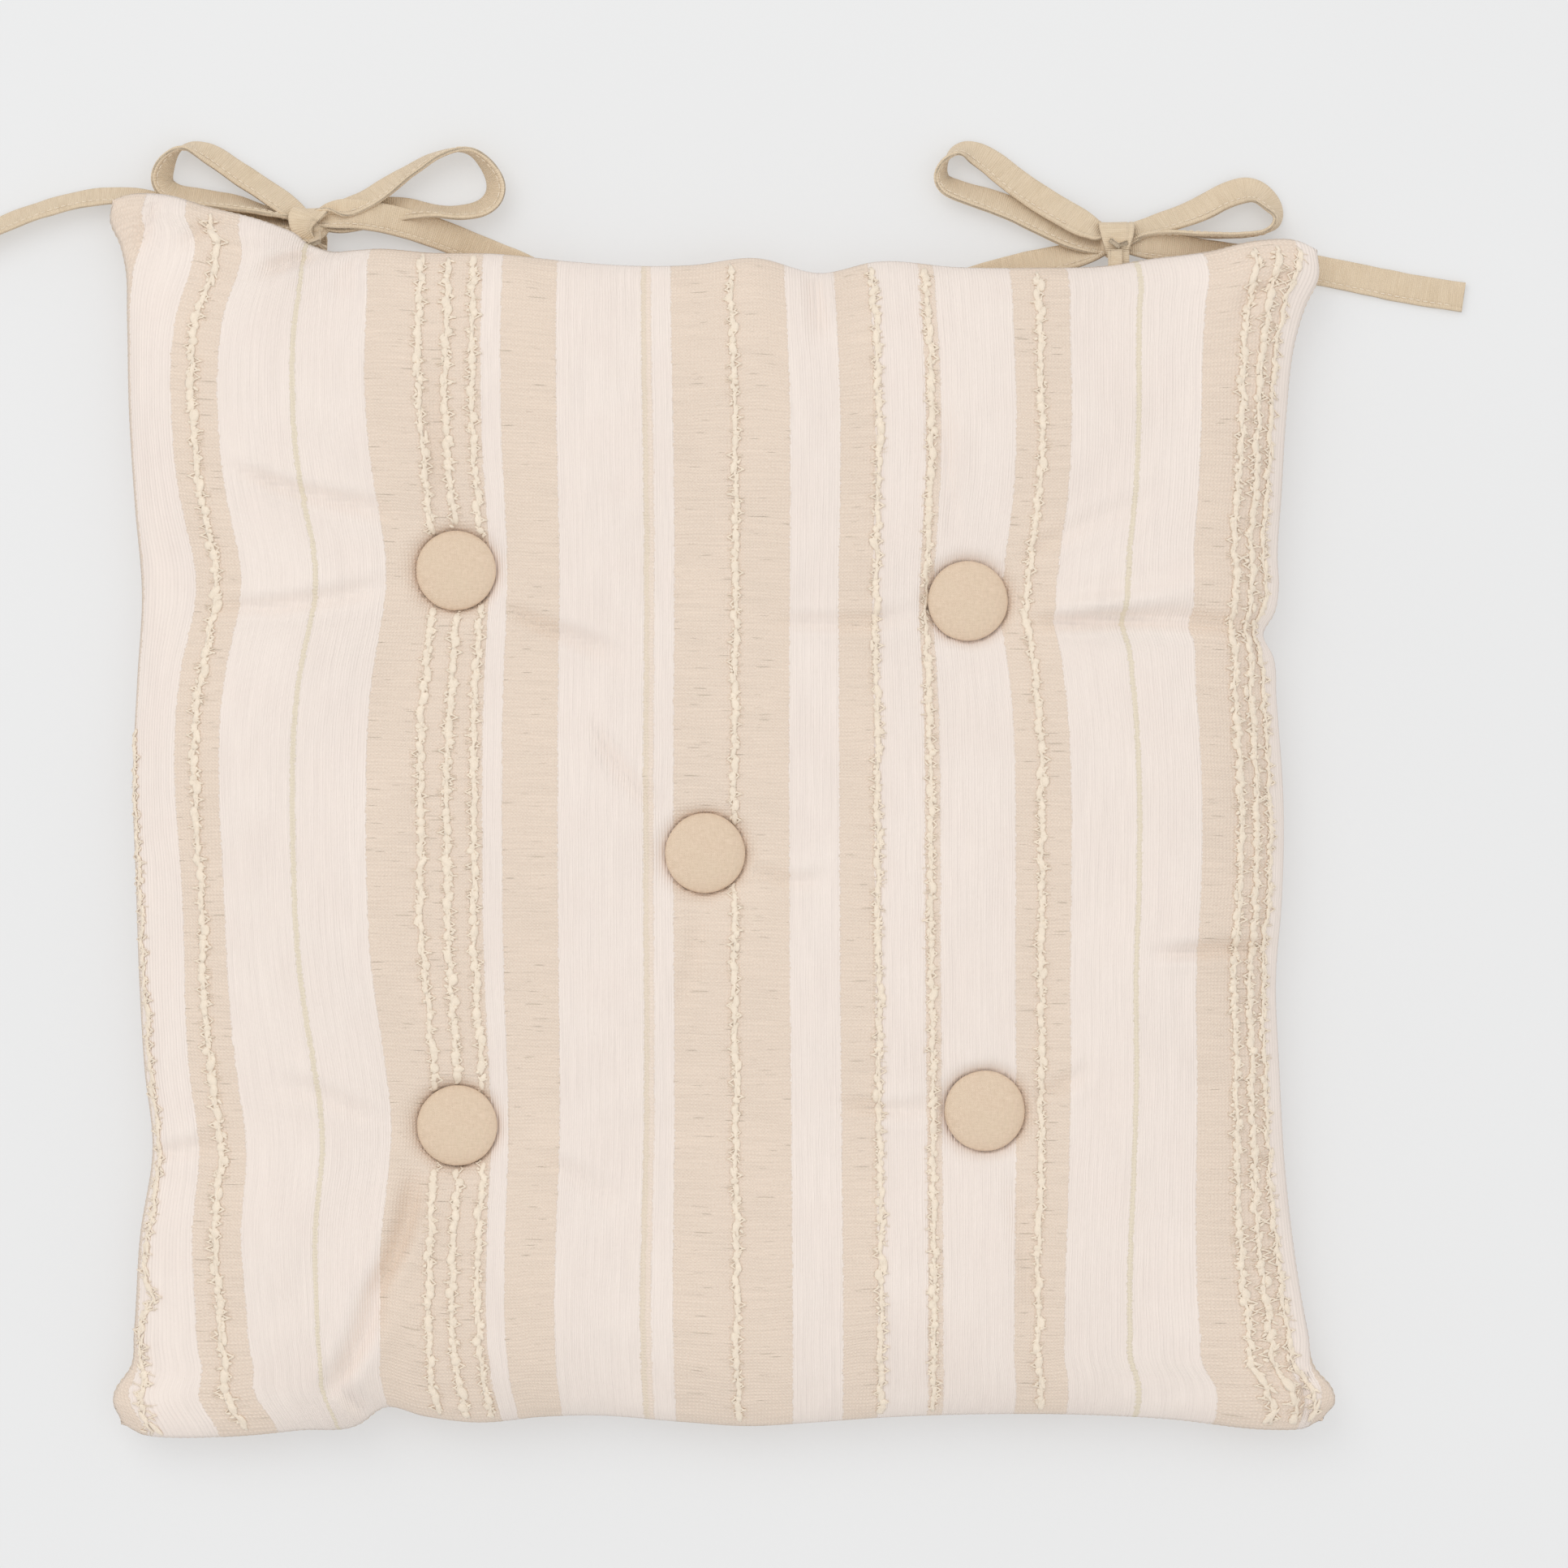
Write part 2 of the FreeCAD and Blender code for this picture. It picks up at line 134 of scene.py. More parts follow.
def quads(ids):
    """Faces between the points of a grid."""
    return np.stack([ids[:-1, :-1], ids[1:, :-1], ids[1:, 1:], ids[:-1, 1:]], 2).reshape(-1, 4)


def in_scene(name, data):
    made = bpy.data.objects.new(name, data)
    bpy.context.scene.collection.objects.link(made)
    return made


def mesh_piece(name, points, faces, material, body, slot):
    mesh = bpy.data.meshes.new(name)
    mesh.from_pydata((np.asarray(points) * MM).tolist(), [], [tuple(int(i) for i in f) for f in faces])
    mesh.validate()
    mesh.update()
    mesh.polygons.foreach_set("use_smooth", [True] * len(mesh.polygons))
    mesh.materials.append(material)
    piece = in_scene(name, mesh)
    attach(piece, body)
    return piece


def give_places(piece, name, values):
    """Stores a vector per vertex, which the materials read as cloth places in mm."""
    attribute = piece.data.attributes.new(name, "FLOAT_VECTOR", "POINT")
    attribute.data.foreach_set("vector", np.asarray(values, np.float32).ravel())


# ---------------------------------------------------------------- materials

class Nodes:
    """A short way to write a material's node tree."""

    def __init__(self, name, roughness, sheen=0.0, metallic=0.0, specular=0.3):
        self.material = bpy.data.materials.new(name)
        self.material.use_nodes = True
        self.tree = self.material.node_tree
        self.shader = self.tree.nodes["Principled BSDF"]
        self.set_shader({"Roughness": roughness, "Sheen Weight": sheen, "Sheen Roughness": 0.5,
                         "Metallic": metallic, "Specular IOR Level": specular})

    def set_shader(self, values):
        for socket, value in values.items():
            self.shader.inputs[socket].default_value = value

    def node(self, kind, **settings):
        made = self.tree.nodes.new(kind)
        for key, value in settings.items():
            setattr(made, key, value)
        return made

    def link(self, socket, value):
        if isinstance(value, (int, float)):
            socket.default_value = value
        elif isinstance(value, tuple):
            socket.default_value = value if socket.type == "VECTOR" else (*value, 1)
        else:
            self.tree.links.new(value, socket)

    def fed(self, made, *values):
        """The node's first output, once its inputs hold values."""
        for socket, value in zip(made.inputs, values):
            self.link(socket, value)
        return made.outputs[0]

    def math(self, operation, *values):
        return self.fed(self.node("ShaderNodeMath", operation=operation), *values)

    def times(self, a, b):
        return self.math("MULTIPLY", a, b)

    def plus(self, a, b):
        return self.math("ADD", a, b)

    def times_plus(self, a, b, c):
        return self.math("MULTIPLY_ADD", a, b, c)

    def parts(self, vector):
        split = self.node("ShaderNodeSeparateXYZ")
        self.link(split.inputs[0], vector)
        return split.outputs

    def places(self, name):
        """The x and y of the places that give_places stored."""
        return self.parts(self.node("ShaderNodeAttribute", attribute_name=name).outputs["Vector"])[:2]

    def scaled(self, vector, amount):
        """A colour or a place times a number."""
        made = self.node("ShaderNodeVectorMath", operation="SCALE")
        self.link(made.inputs[0], vector)
        self.link(made.inputs["Scale"], amount)
        return made.outputs[0]

    def object_places(self):
        """Places in mm on the piece itself."""
        return self.scaled(self.node("ShaderNodeTexCoord").outputs["Object"], 1 / MM)

    def joined(self, x, y):
        return self.fed(self.node("ShaderNodeCombineXYZ"), x, y)

    def noise(self, where, scale, detail=2.0, roughness=0.5):
        made = self.node("ShaderNodeTexNoise")
        for name, value in (("Vector", where), ("Scale", scale), ("Detail", detail), ("Roughness", roughness)):
            self.link(made.inputs[name], value)
        return made.outputs["Fac"]

    def streaks(self, x, y, per_x, per_y, detail, roughness=0.5):
        """Noise drawn out along the way whose number is the smaller."""
        return self.noise(self.joined(self.times(x, per_x), self.times(y, per_y)), 1.0, detail, roughness)

    def spread(self, value, low, high, to_low=0.0, to_high=1.0):
        return self.fed(self.node("ShaderNodeMapRange", clamp=True), value, low, high, to_low, to_high)

    def mix(self, share, a, b):
        made = self.node("ShaderNodeMix", data_type="RGBA")
        for socket, value in ((0, share), (6, a), (7, b)):
            self.link(made.inputs[socket], value)
        return made.outputs[2]

    def blend(self, value, low, high, a, b):
        """From colour a where value is low to b where it is high."""
        return self.mix(self.spread(value, low, high), a, b)

    def threads(self, place, pitch):
        """0 between threads and 1 on top of each."""
        return self.times_plus(self.math("SINE", self.times(place, TURN / pitch)), 0.5, 0.5)

    def finish(self, colour, height, depth, roughness=None):
        """Colour, a bump of depth mm, and a roughness that varies."""
        self.link(self.shader.inputs["Base Color"], colour)
        if roughness is not None:
            self.link(self.shader.inputs["Roughness"], roughness)
        bump = self.node("ShaderNodeBump")
        bump.inputs["Strength"].default_value = 1
        bump.inputs["Distance"].default_value = depth * MM
        self.link(bump.inputs["Height"], height)
        self.link(self.shader.inputs["Normal"], bump.outputs[0])
        return self.material


# Where the cloth changes colour, in mm across the pad along its middle line. A run starts at each place:
# 0 is cream, up to 1 is beige and 2 is the olive pin stripe.
STRIPES = [
    (-219, 1), (-199.8, 0), (-184.5, 1), (-168.6, 0), (-145.5, 2), (-144.2, 0), (-119.8, 1), (-80.6, 0), (-73, 1),
    (-54.3, 0), (-24.9, 1.5), (-24, 0.75), (-21.6, 0), (-14.3, 1), (25.2, 0), (41.3, 1), (54.6, 0), (70.8, 0.9),
    (77, 0), (102.6, 1), (121, 0), (143.6, 2), (144.8, 0), (166, 1), (190.4, 0), (197.5, 1)]
# The raised yarns: (place across the pad, weight).
FRINGES = [
    (-176.7, 1.2), (-100.2, 1.1), (-91, 1.2), (-82, 1.1), (7, 1), (56, 1), (74.2, 1.05), (112, 1.05), (180.3, 1.15),
    (186, 1.2), (190.6, 0.9)]
CREAM, BEIGE = (0.895, 0.79, 0.715), (0.81, 0.665, 0.545)
RAMP_REACH = 220.0  # half the length that the stripe ramp covers


def striped_cloth(name):
    n = Nodes(name, 0.9, sheen=0.12, specular=0.2)
    u, v = n.places("cloth")
    where = n.joined(u, v)
    wander = n.streaks(u, v, 0.02, 0.35, 2)
    fray = n.noise(where, 1.1, 2, 0.8)
    edge = n.plus(n.plus(u, n.spread(wander, 0.3, 0.7, -0.2, 0.2)), n.spread(fray, 0.25, 0.75, -0.55, 0.55))
    ramp = n.node("ShaderNodeValToRGB")
    ramp.color_ramp.interpolation = "CONSTANT"
    n.link(ramp.inputs[0], n.times_plus(edge, 0.5 / RAMP_REACH, 0.5))
    stops = ramp.color_ramp.elements
    stops[0].position, stops[0].color = 0.0, (0, 0, 0, 1)
    stops.remove(stops[1])
    for place, amount in STRIPES:
        stops.new(0.5 + 0.5 * place / RAMP_REACH).color = (min(amount, 1), max(amount - 1, 0), 0, 1)
    beige, olive, _ = n.parts(ramp.outputs[0])
    # warp runs along v, weft along u
    drift = n.streaks(u, v, 0.05, 0.05, 1)
    warp = n.threads(n.times_plus(drift, 1.2, u), 0.98)
    weft = n.threads(n.times_plus(drift, 4.0, v), 1.12)
    crossing = n.times(n.threads(n.times_plus(drift, 2.0, u), 1.22), weft)
    warp_streak = n.streaks(u, v, 1.1, 0.03, 3, 0.6)
    weft_streak = n.streaks(u, v, 0.045, 1.0, 3, 0.6)
    slub = n.spread(n.streaks(u, v, 0.09, 1.6, 1), 0.70, 0.78)
    grain = n.noise(where, 1.7, 2, 0.7)
    cream = n.scaled(n.blend(n.noise(n.object_places(), 0.05, 2), 0.35, 0.65, CREAM, (0.905, 0.805, 0.73)),
                     n.plus(n.spread(warp_streak, 0.3, 0.7, 0.955, 1.015), n.times(warp, 0.02)))
    plain = n.scaled(n.blend(grain, 0.38, 0.66, BEIGE, (0.865, 0.735, 0.615)),
                     n.plus(n.spread(weft_streak, 0.25, 0.75, 0.91, 1.02), n.times_plus(crossing, 0.14, -0.03)))
    plain = n.mix(n.times(slub, 0.45), plain, (0.62, 0.52, 0.37))
    colour = n.mix(n.times(olive, 0.8), n.mix(beige, cream, plain), (0.80, 0.715, 0.565))
    colour = n.scaled(colour, n.spread(n.noise(where, 0.02, 3), 0.3, 0.7, 0.985, 1.015))
    cream_height = n.times_plus(warp, 0.8, n.times(warp_streak, 0.5))
    beige_height = n.plus(crossing, n.times(slub, 0.8))
    height = n.times_plus(beige, n.math("SUBTRACT", beige_height, cream_height), cream_height)
    return n.finish(colour, n.times_plus(grain, 0.5, height), 0.22, n.spread(grain, 0.3, 0.7, 0.84, 0.95))


def tape_cloth(name):
    n = Nodes(name, 0.88, sheen=0.15, specular=0.22)
    length, across = n.places("tape")
    where = n.joined(length, across)
    drift = n.streaks(length, across, 0.1, 0.1, 1)
    rib = n.threads(n.times_plus(drift, 1.5, length), 0.72)
    warp = n.threads(across, 0.62)
    streak = n.streaks(length, across, 1.2, 0.12, 3, 0.6)
    grain = n.noise(where, 1.6, 2, 0.7)
    colour = n.blend(streak, 0.3, 0.72, (0.70, 0.555, 0.385), (0.80, 0.655, 0.475))
    colour = n.mix(n.spread(n.noise(where, 0.06, 2), 0.35, 0.65, 0, 0.35), colour, (0.80, 0.66, 0.49))
    colour = n.scaled(colour, n.times_plus(n.times(rib, warp), 0.07, 0.97))
    height = n.times_plus(grain, 0.6, n.times_plus(warp, 0.4, rib))
    return n.finish(colour, height, 0.14, n.spread(grain, 0.3, 0.7, 0.82, 0.93))


def button_cloth(name):
    n = Nodes(name, 0.86, sheen=0.15, specular=0.22)
    x, y = n.places("cloth")
    where = n.joined(x, y)
    drift = n.streaks(x, y, 0.08, 0.08, 1)
    warp = n.threads(n.times_plus(drift, 1.2, x), 0.66)
    weft = n.threads(n.times_plus(drift, -1.2, y), 0.6)
    crossing = n.times(warp, weft)
    streak = n.times_plus(n.streaks(x, y, 1.1, 0.4, 3, 0.65), 0.5, n.times(n.streaks(x, y, 0.4, 1.1, 3, 0.65), 0.5))
    grain = n.noise(where, 1.9, 2, 0.7)
    colour = n.blend(streak, 0.34, 0.66, (0.70, 0.54, 0.395), (0.82, 0.65, 0.495))
    colour = n.mix(n.spread(n.noise(where, 0.09, 2), 0.35, 0.65, 0, 0.3), colour, (0.76, 0.62, 0.46))
    colour = n.scaled(colour, n.times_plus(crossing, 0.06, 0.975))
    return n.finish(colour, n.times_plus(grain, 0.4, crossing), 0.1, n.spread(grain, 0.3, 0.7, 0.8, 0.92))


def yarn_cloth(name, pale, deep, size=1.0, painted_glow=0.0):
    """Spun fibres: fine uneven streaks and a dusty surface. Its last argument is a painted glow: light of the yarn's
    own colour given off by its surface, which lifts the yarn's shaded sides.
    """
    n = Nodes(name, 0.92, sheen=0.25, specular=0.15)
    # painted glow: the yarn gives off a little light of its own colour, so its shaded sides look lighter
    n.set_shader({"Emission Color": (0.94, 0.80, 0.66, 1), "Emission Strength": painted_glow})
    where = n.object_places()
    fibre = n.noise(where, 2.6 / size, 4, 0.7)
    colour = n.blend(fibre, 0.3, 0.7, deep, pale)
    colour = n.scaled(colour, n.spread(n.noise(where, 0.35 / size, 2), 0.3, 0.7, 0.95, 1.04))
    return n.finish(colour, fibre, 0.25 * size, n.spread(fibre, 0.3, 0.7, 0.85, 0.97))


def fibre_fill(name):
    n = Nodes(name, 0.95, sheen=0.4, specular=0.1)
    where = n.object_places()
    strand = n.noise(where, 0.9, 6, 0.75)
    colour = n.blend(strand, 0.3, 0.7, (0.74, 0.74, 0.73), (0.9, 0.9, 0.89))
    return n.finish(colour, n.times_plus(n.noise(where, 0.06, 3), 3.0, strand), 0.9)


def metal(name, colour, drawn):
    """Sheet or wire: fine lines drawn out by drawn, a little tarnish, worn bright in places."""
    n = Nodes(name, 0.35, metallic=1.0, specular=0.5)
    where = n.object_places()
    stretched = n.node("ShaderNodeVectorMath", operation="MULTIPLY")
    n.link(stretched.inputs[0], where)
    stretched.inputs[1].default_value = drawn
    lines = n.noise(stretched.outputs[0], 1.0, 4, 0.7)
    tarnish = n.noise(where, 0.25, 3)
    tone = n.blend(tarnish, 0.4, 0.7, colour, tuple(c * 0.82 for c in colour))
    return n.finish(tone, lines, 0.02, n.spread(n.plus(lines, tarnish), 0.7, 1.3, 0.24, 0.48))


def backing_plastic(name):
    n = Nodes(name, 0.5, specular=0.45)
    where = n.object_places()
    grain = n.noise(where, 3.5, 3, 0.6)
    colour = n.blend(n.noise(where, 0.3, 4, 0.6), 0.3, 0.7, (0.74, 0.66, 0.53), (0.83, 0.77, 0.65))
    return n.finish(colour, grain, 0.03, n.spread(grain, 0.3, 0.7, 0.42, 0.58))


def floor_paper(name):
    """Pale paper, lit from below like a light table, which thins the shadows."""
    n = Nodes(name, 0.8, specular=0.15)
    n.set_shader({"Emission Color": (1, 0.997, 0.99, 1), "Emission Strength": 0.335})
    where = n.object_places()
    colour = n.blend(n.noise(where, 0.004, 2), 0.3, 0.7, (0.475, 0.478, 0.48), (0.485, 0.488, 0.49))
    return n.finish(colour, n.noise(where, 1.2, 3), 0.02)


CLOTH = striped_cloth("striped_cotton")
TAPE = tape_cloth("folded_tape")
# the fringe yarn gets a small painted glow, which lifts its shade
YARN = yarn_cloth("fringe_yarn", (0.92, 0.805, 0.665), (0.865, 0.745, 0.60), painted_glow=0.045)
THREAD = yarn_cloth("sewing_thread", (0.80, 0.68, 0.51), (0.70, 0.57, 0.41), size=0.4)
TOPSTITCH = yarn_cloth("topstitch_thread", (0.88, 0.765, 0.61), (0.81, 0.685, 0.53), size=0.4)

# ---------------------------------------------------------------- camera

LOOK_AT, DISTANCE, ELEVATION = (24, 18, 14), 2000.0, math.radians(87)
SEEN = 541.0  # the width that the picture takes in at LOOK_AT
camera_data = bpy.data.cameras.new("camera")
camera = in_scene("camera", camera_data)
camera_data.lens = camera_data.sensor_width * DISTANCE / SEEN
towards = Vector((0, -math.cos(ELEVATION), math.sin(ELEVATION)))
camera.location = (Vector(LOOK_AT) + towards * DISTANCE) * MM
camera.rotation_euler = (-towards).to_track_quat("-Z", "Y").to_euler()
bpy.context.scene.camera = camera

# ---------------------------------------------------------------- ties

TAPE_WIDTH, TAPE_THICK = 10.5, 1.6
TAPE_HALF = TAPE_WIDTH / 2
GROOVE = TAPE_HALF - 1.75  # where the row of topstitching runs, from the tape's middle
STITCH_PITCH, STITCH_SIZE = 2.5, 0.25
FLOOR_GAP = 0.15  # the lowest that a tie may lie


def spline_line(name, points):
    """Points read from a smooth NURBS line whose control points are these, in mm."""
    data = bpy.data.curves.new(name + "_line", "CURVE")
    data.dimensions = "3D"
    data.resolution_u = 14
    line = data.splines.new("NURBS")
    line.points.add(len(points) - 1)
    for point, place in zip(line.points, points):
        point.co = (*(c * MM for c in place[:3]), 1)
    line.order_u = 3
    line.use_endpoint_u = True
    carrier = bpy.data.objects.new(name + "_line", data)
    mesh = bpy.data.meshes.new_from_object(carrier)
    read = np.array([v.co for v in mesh.vertices], float) / MM
    bpy.data.objects.remove(carrier)
    bpy.data.curves.remove(data)
    bpy.data.meshes.remove(mesh)
    return read


def tape_section():
    """The outline of a folded tape, with a stitched groove near one edge and a rolled fold at the other."""
    half, t = TAPE_HALF, TAPE_THICK / 2
    upper = np.array([
        (-half, 0), (-half + 0.12, 0.62 * t), (-half + 0.55, 1.0 * t), (-half + 1.5, 1.02 * t), (-half + 3.4, 0.88 * t),
        (0, 0.9 * t), (half - 3.2, 0.95 * t), (half - 2.1, 0.98 * t), (half - 1.75, 0.66 * t), (half - 1.4, 0.98 * t),
        (half - 0.6, 1.04 * t), (half - 0.15, 0.7 * t), (half, 0.12 * t)])
    return np.vstack([upper, upper[::-1][1:-1] * (1, -1)])


def frames_along(line, leans):
    """For each point: its direction, the tape's width direction and its face direction.

    leans gives, for each control point, how far the width leans from upright towards the left of travel,
    in degrees."""
    spans = len(leans) - 2
    rests = np.concatenate([[0], np.arange(spans) + 0.5, [spans]])
    lean = np.radians(curve(list(zip(rests, leans)), np.linspace(0, spans, len(line))))[:, None]
    way = unit(np.gradient(line, axis=0))
    left = unit(np.stack([-way[:, 1], way[:, 0], np.zeros(len(line))], 1))
    width = np.cos(lean) * np.cross(way, left) + np.sin(lean) * left
    return way, width, np.cross(way, width)


def tape_mesh(line, frames, width, thick=TAPE_THICK, seed=0, step=0.9):
    """A folded tape along line: points, faces and each point's place along and across it.

    width is one number, or a pair: places along the line and the widths there."""
    length = along(line)
    count = int(length[-1] / step)
    at = np.linspace(0, length[-1], count)
    mid, wide, face = (read_at(at, length, rows)[:, None] for rows in (line, *frames[1:]))
    widths = np.interp(at, *width) if np.ndim(width) else np.full(count, float(width))
    widths = widths * (1 + 0.025 * waves(at, 0, (26, 9), seed))
    thicks = thick * (1 + 0.10 * waves(at, 0, (14, 5), seed + 1))
    across, rise = tape_section().T
    a = across * widths[:, None] / TAPE_WIDTH
    b = rise * thicks[:, None] / TAPE_THICK
    cupped = 0.22 * np.sin(at / 6.5 + seed)[:, None] * (a / TAPE_HALF) ** 2
    tilted = 0.1 * np.sin(at / 2.3 + 2 * seed)[:, None] * (a / TAPE_HALF)
    points = mid + a[..., None] * unit(wide) + (b + cupped + tilted)[..., None] * unit(face)
    places = np.stack(np.broadcast_arrays(at[:, None], across + 20 * (rise < 0), 0.0), 2)
    m = len(across)
    faces = tube_faces(count, m)
    pairs = [(j, (m - j) % m) for j in range(m // 2 + 1)]
    for base in (0, (count - 1) * m):  # both cut ends, closed by strips
        for (a, b), (c, d) in zip(pairs, pairs[1:]):
            quad = list(dict.fromkeys((base + a, base + c, base + d, base + b)))
            if len(quad) > 2:
                faces.append(quad if base == 0 else quad[::-1])
    return points.reshape(-1, 3), faces, places.reshape(-1, 3)


def topstitching(line, frames):
    """Short thread stitches in a row along the groove, on both faces of the tape."""
    length = along(line)
    points, faces = [], []
    for side in (1, -1):
        for at in np.arange(22 + STITCH_PITCH, length[-1] - 1 - STITCH_PITCH, STITCH_PITCH):
            faces += closed_tube(5, 6, len(points))
            for k, r in ((-0.36, 0.25), (-0.28, 0.85), (0, 1.0), (0.28, 0.85), (0.36, 0.25)):
                mid, _, wide, face = (read_at(at + k * STITCH_PITCH, length, rows) for rows in (line, *frames))
                centre = mid + GROOVE * wide + side * (0.4 * TAPE_THICK + 0.1 * r) * face
                points += [centre + STITCH_SIZE * r * (math.cos(t) * wide + math.sin(t) * face)
                           for t in np.arange(6) * math.pi / 3]
    return np.array(points), faces


# Each tie runs out of the seam, through the knot, round its loop, back through the knot and out as its tail.
# A point is (x, y, z, lean): lean is how far the tape leans from standing on its edge, in degrees.
LEFT_OUTER_TIE = [
    (-138.6, 205.4, 15.7, 90), (-138.9, 206.2, 13.6, 90), (-139.6, 208.2, 10.8, 84), (-141.8, 212.8, 8.4, 66),
    (-147, 218.6, 6.6, 52), (-155, 224.2, 5.4, 50), (-165.5, 231.2, 5, 50), (-176, 239, 5.2, 44),
    (-185.6, 241.6, 6.2, 14), (-191.2, 235.2, 6.3, -22), (-193.2, 228, 6.2, -40), (-188, 223.6, 6, -44),
    (-177.5, 222.4, 5.9, -42), (-166, 221, 5.8, -34), (-155.5, 218.2, 5.8, -18), (-147, 215.6, 6, -10),
    (-141, 214.4, 6.6, -30), (-135, 216.2, 8.4, -72), (-127, 217.2, 8.6, -90), (-117, 216, 7.2, -92),
    (-106, 213.6, 5.2, -92), (-94, 209.8, 3, -90), (-80, 204.2, 1.2, -90), (-64, 197.6, 1, -90), (-47.5, 189, 1, -90)]
LEFT_INNER_TIE = [
    (-141.2, 205.4, 14.1, 90), (-141, 206.2, 12.2, 90), (-139.8, 209.4, 9.2, 80), (-136.6, 215.4, 8, 50),
    (-131, 218.4, 6.8, -34), (-122, 221.6, 6, -46), (-114.5, 226.6, 5.4, -42), (-106.5, 232.2, 5.8, -30),
    (-97, 238.4, 6.1, -18), (-86, 240.6, 6.1, -2), (-78.4, 233.2, 6, 22), (-75.6, 225.4, 5.7, 38),
    (-79.6, 219.2, 5.6, 40), (-89, 217.2, 5.6, 30), (-99.5, 218.6, 5.2, 30), (-110, 219.6, 3.6, 60),
    (-121, 217.6, 2.8, 80), (-131, 214.6, 4, 60), (-139, 213.4, 5, 36), (-147, 212.8, 5.6, 32),
    (-158, 214.4, 5.4, 36), (-174, 217.6, 5, 38), (-190, 221.2, 5, 39), (-206, 224, 5, 39), (-222, 222.8, 5, 39),
    (-238, 217.8, 5, 39), (-253, 211.4, 5, 40), (-264, 205.6, 5, 40)]
RIGHT_OUTER_TIE = [
    (138.6, 205.4, 15.7, -90), (138.9, 205.8, 13.4, -90), (140, 207, 9.8, -84), (144.4, 210.2, 7.2, -54),
    (151, 212.4, 6.3, -44), (160, 215.4, 5.6, -50), (169.4, 219.2, 5, -58), (178.6, 224.4, 4.6, -62),
    (187.6, 226.4, 4.6, -58), (194, 221, 5.2, -42), (196.4, 214.6, 6, -14), (191.6, 210.4, 6.4, 6),
    (182.6, 209.4, 6.4, 4), (171.4, 209.8, 6.4, 4), (159, 210.6, 6.4, 6), (149, 210.4, 6.2, 14),
    (142, 208.4, 6.2, 40), (134.6, 205.6, 5.8, 52), (124.6, 202.8, 4.6, 62), (112, 200, 3.2, 76),
    (98, 196.8, 1.7, 88), (82, 191.8, 1.1, 90), (66, 185, 1, 90)]
RIGHT_INNER_TIE = [
    (141.2, 205.4, 14.1, -90), (141.1, 205.8, 12.2, -90), (140, 207, 9.4, -80), (136.4, 209.2, 8.2, 20),
    (130.6, 211.8, 8, 62), (123, 216.6, 6.6, 72), (113.5, 222.4, 4.6, 74), (103.6, 229.4, 3.4, 72),
    (94, 237.6, 3.8, 62), (85, 241, 5.4, 30), (79, 234.6, 6.1, -8), (78.8, 228, 5.6, -38), (86.4, 225, 4.7, -50),
    (97.4, 221.6, 4.2, -56), (108.8, 216.8, 3.8, -58), (120.2, 211, 3.9, -56), (130, 207, 5, -56),
    (138.4, 206.4, 7.2, -76), (147.6, 206.6, 8.4, -88), (157, 205.6, 7, -90), (169, 203.6, 4, -90),
    (184, 201.8, 1.6, -90), (199, 200.2, 1.1, -90), (215, 197.2, 1.1, -90), (231, 193.8, 1.1, -90),
    (246, 190.8, 1.1, -90), (261, 188.6, 1.1, -90)]
TIES = [
    ("left_outer_tie", LEFT_OUTER_TIE, ("left_tie_stem", "left_outer_loop", "left_inner_tail"), 0.232, 3),
    ("left_inner_tie", LEFT_INNER_TIE, ("left_inner_loop", "left_outer_tail"), 0.285, 5),
    ("right_outer_tie", RIGHT_OUTER_TIE, ("right_outer_loop", "right_inner_tail"), 0.208, 8),
    ("right_inner_tie", RIGHT_INNER_TIE, ("right_tie_stem", "right_inner_loop", "right_outer_tail"), 0.272, 13)]

# A knot's wrap: a tape round the crossing, wide at the back and pinched where it turns down towards the pad.
# Per knot: middle, half depth, half height, and (turn, width, sideways shift) from front over the top to the back
# and under.
KNOTS = {
    "left": ((-141.0, 211.6, 7.2), 6.6, 5.7,
             [(0, 3.9, 4.2), (35, 4.6, 1.2), (75, 7.0, -2.0), (115, 10.4, -2.0), (160, 12.8, 0.6), (205, 12.0, 1.6),
              (260, 8.6, 2.0), (310, 5.0, 3.4), (360, 3.9, 4.2)]),
    "right": ((139.6, 206.0, 7.2), 7.4, 5.7,
              [(0, 3.6, 0.2), (35, 5.6, 0.1), (75, 8.6, 0), (115, 11.6, 0), (160, 12.6, 0), (205, 12.0, 0),
               (260, 9.0, 0.2), (310, 5.0, 0.3), (360, 3.6, 0.2)])}
WRAP_FROM, WRAP_TO = -78, 296  # the turns at which the wrap starts and ends, in degrees


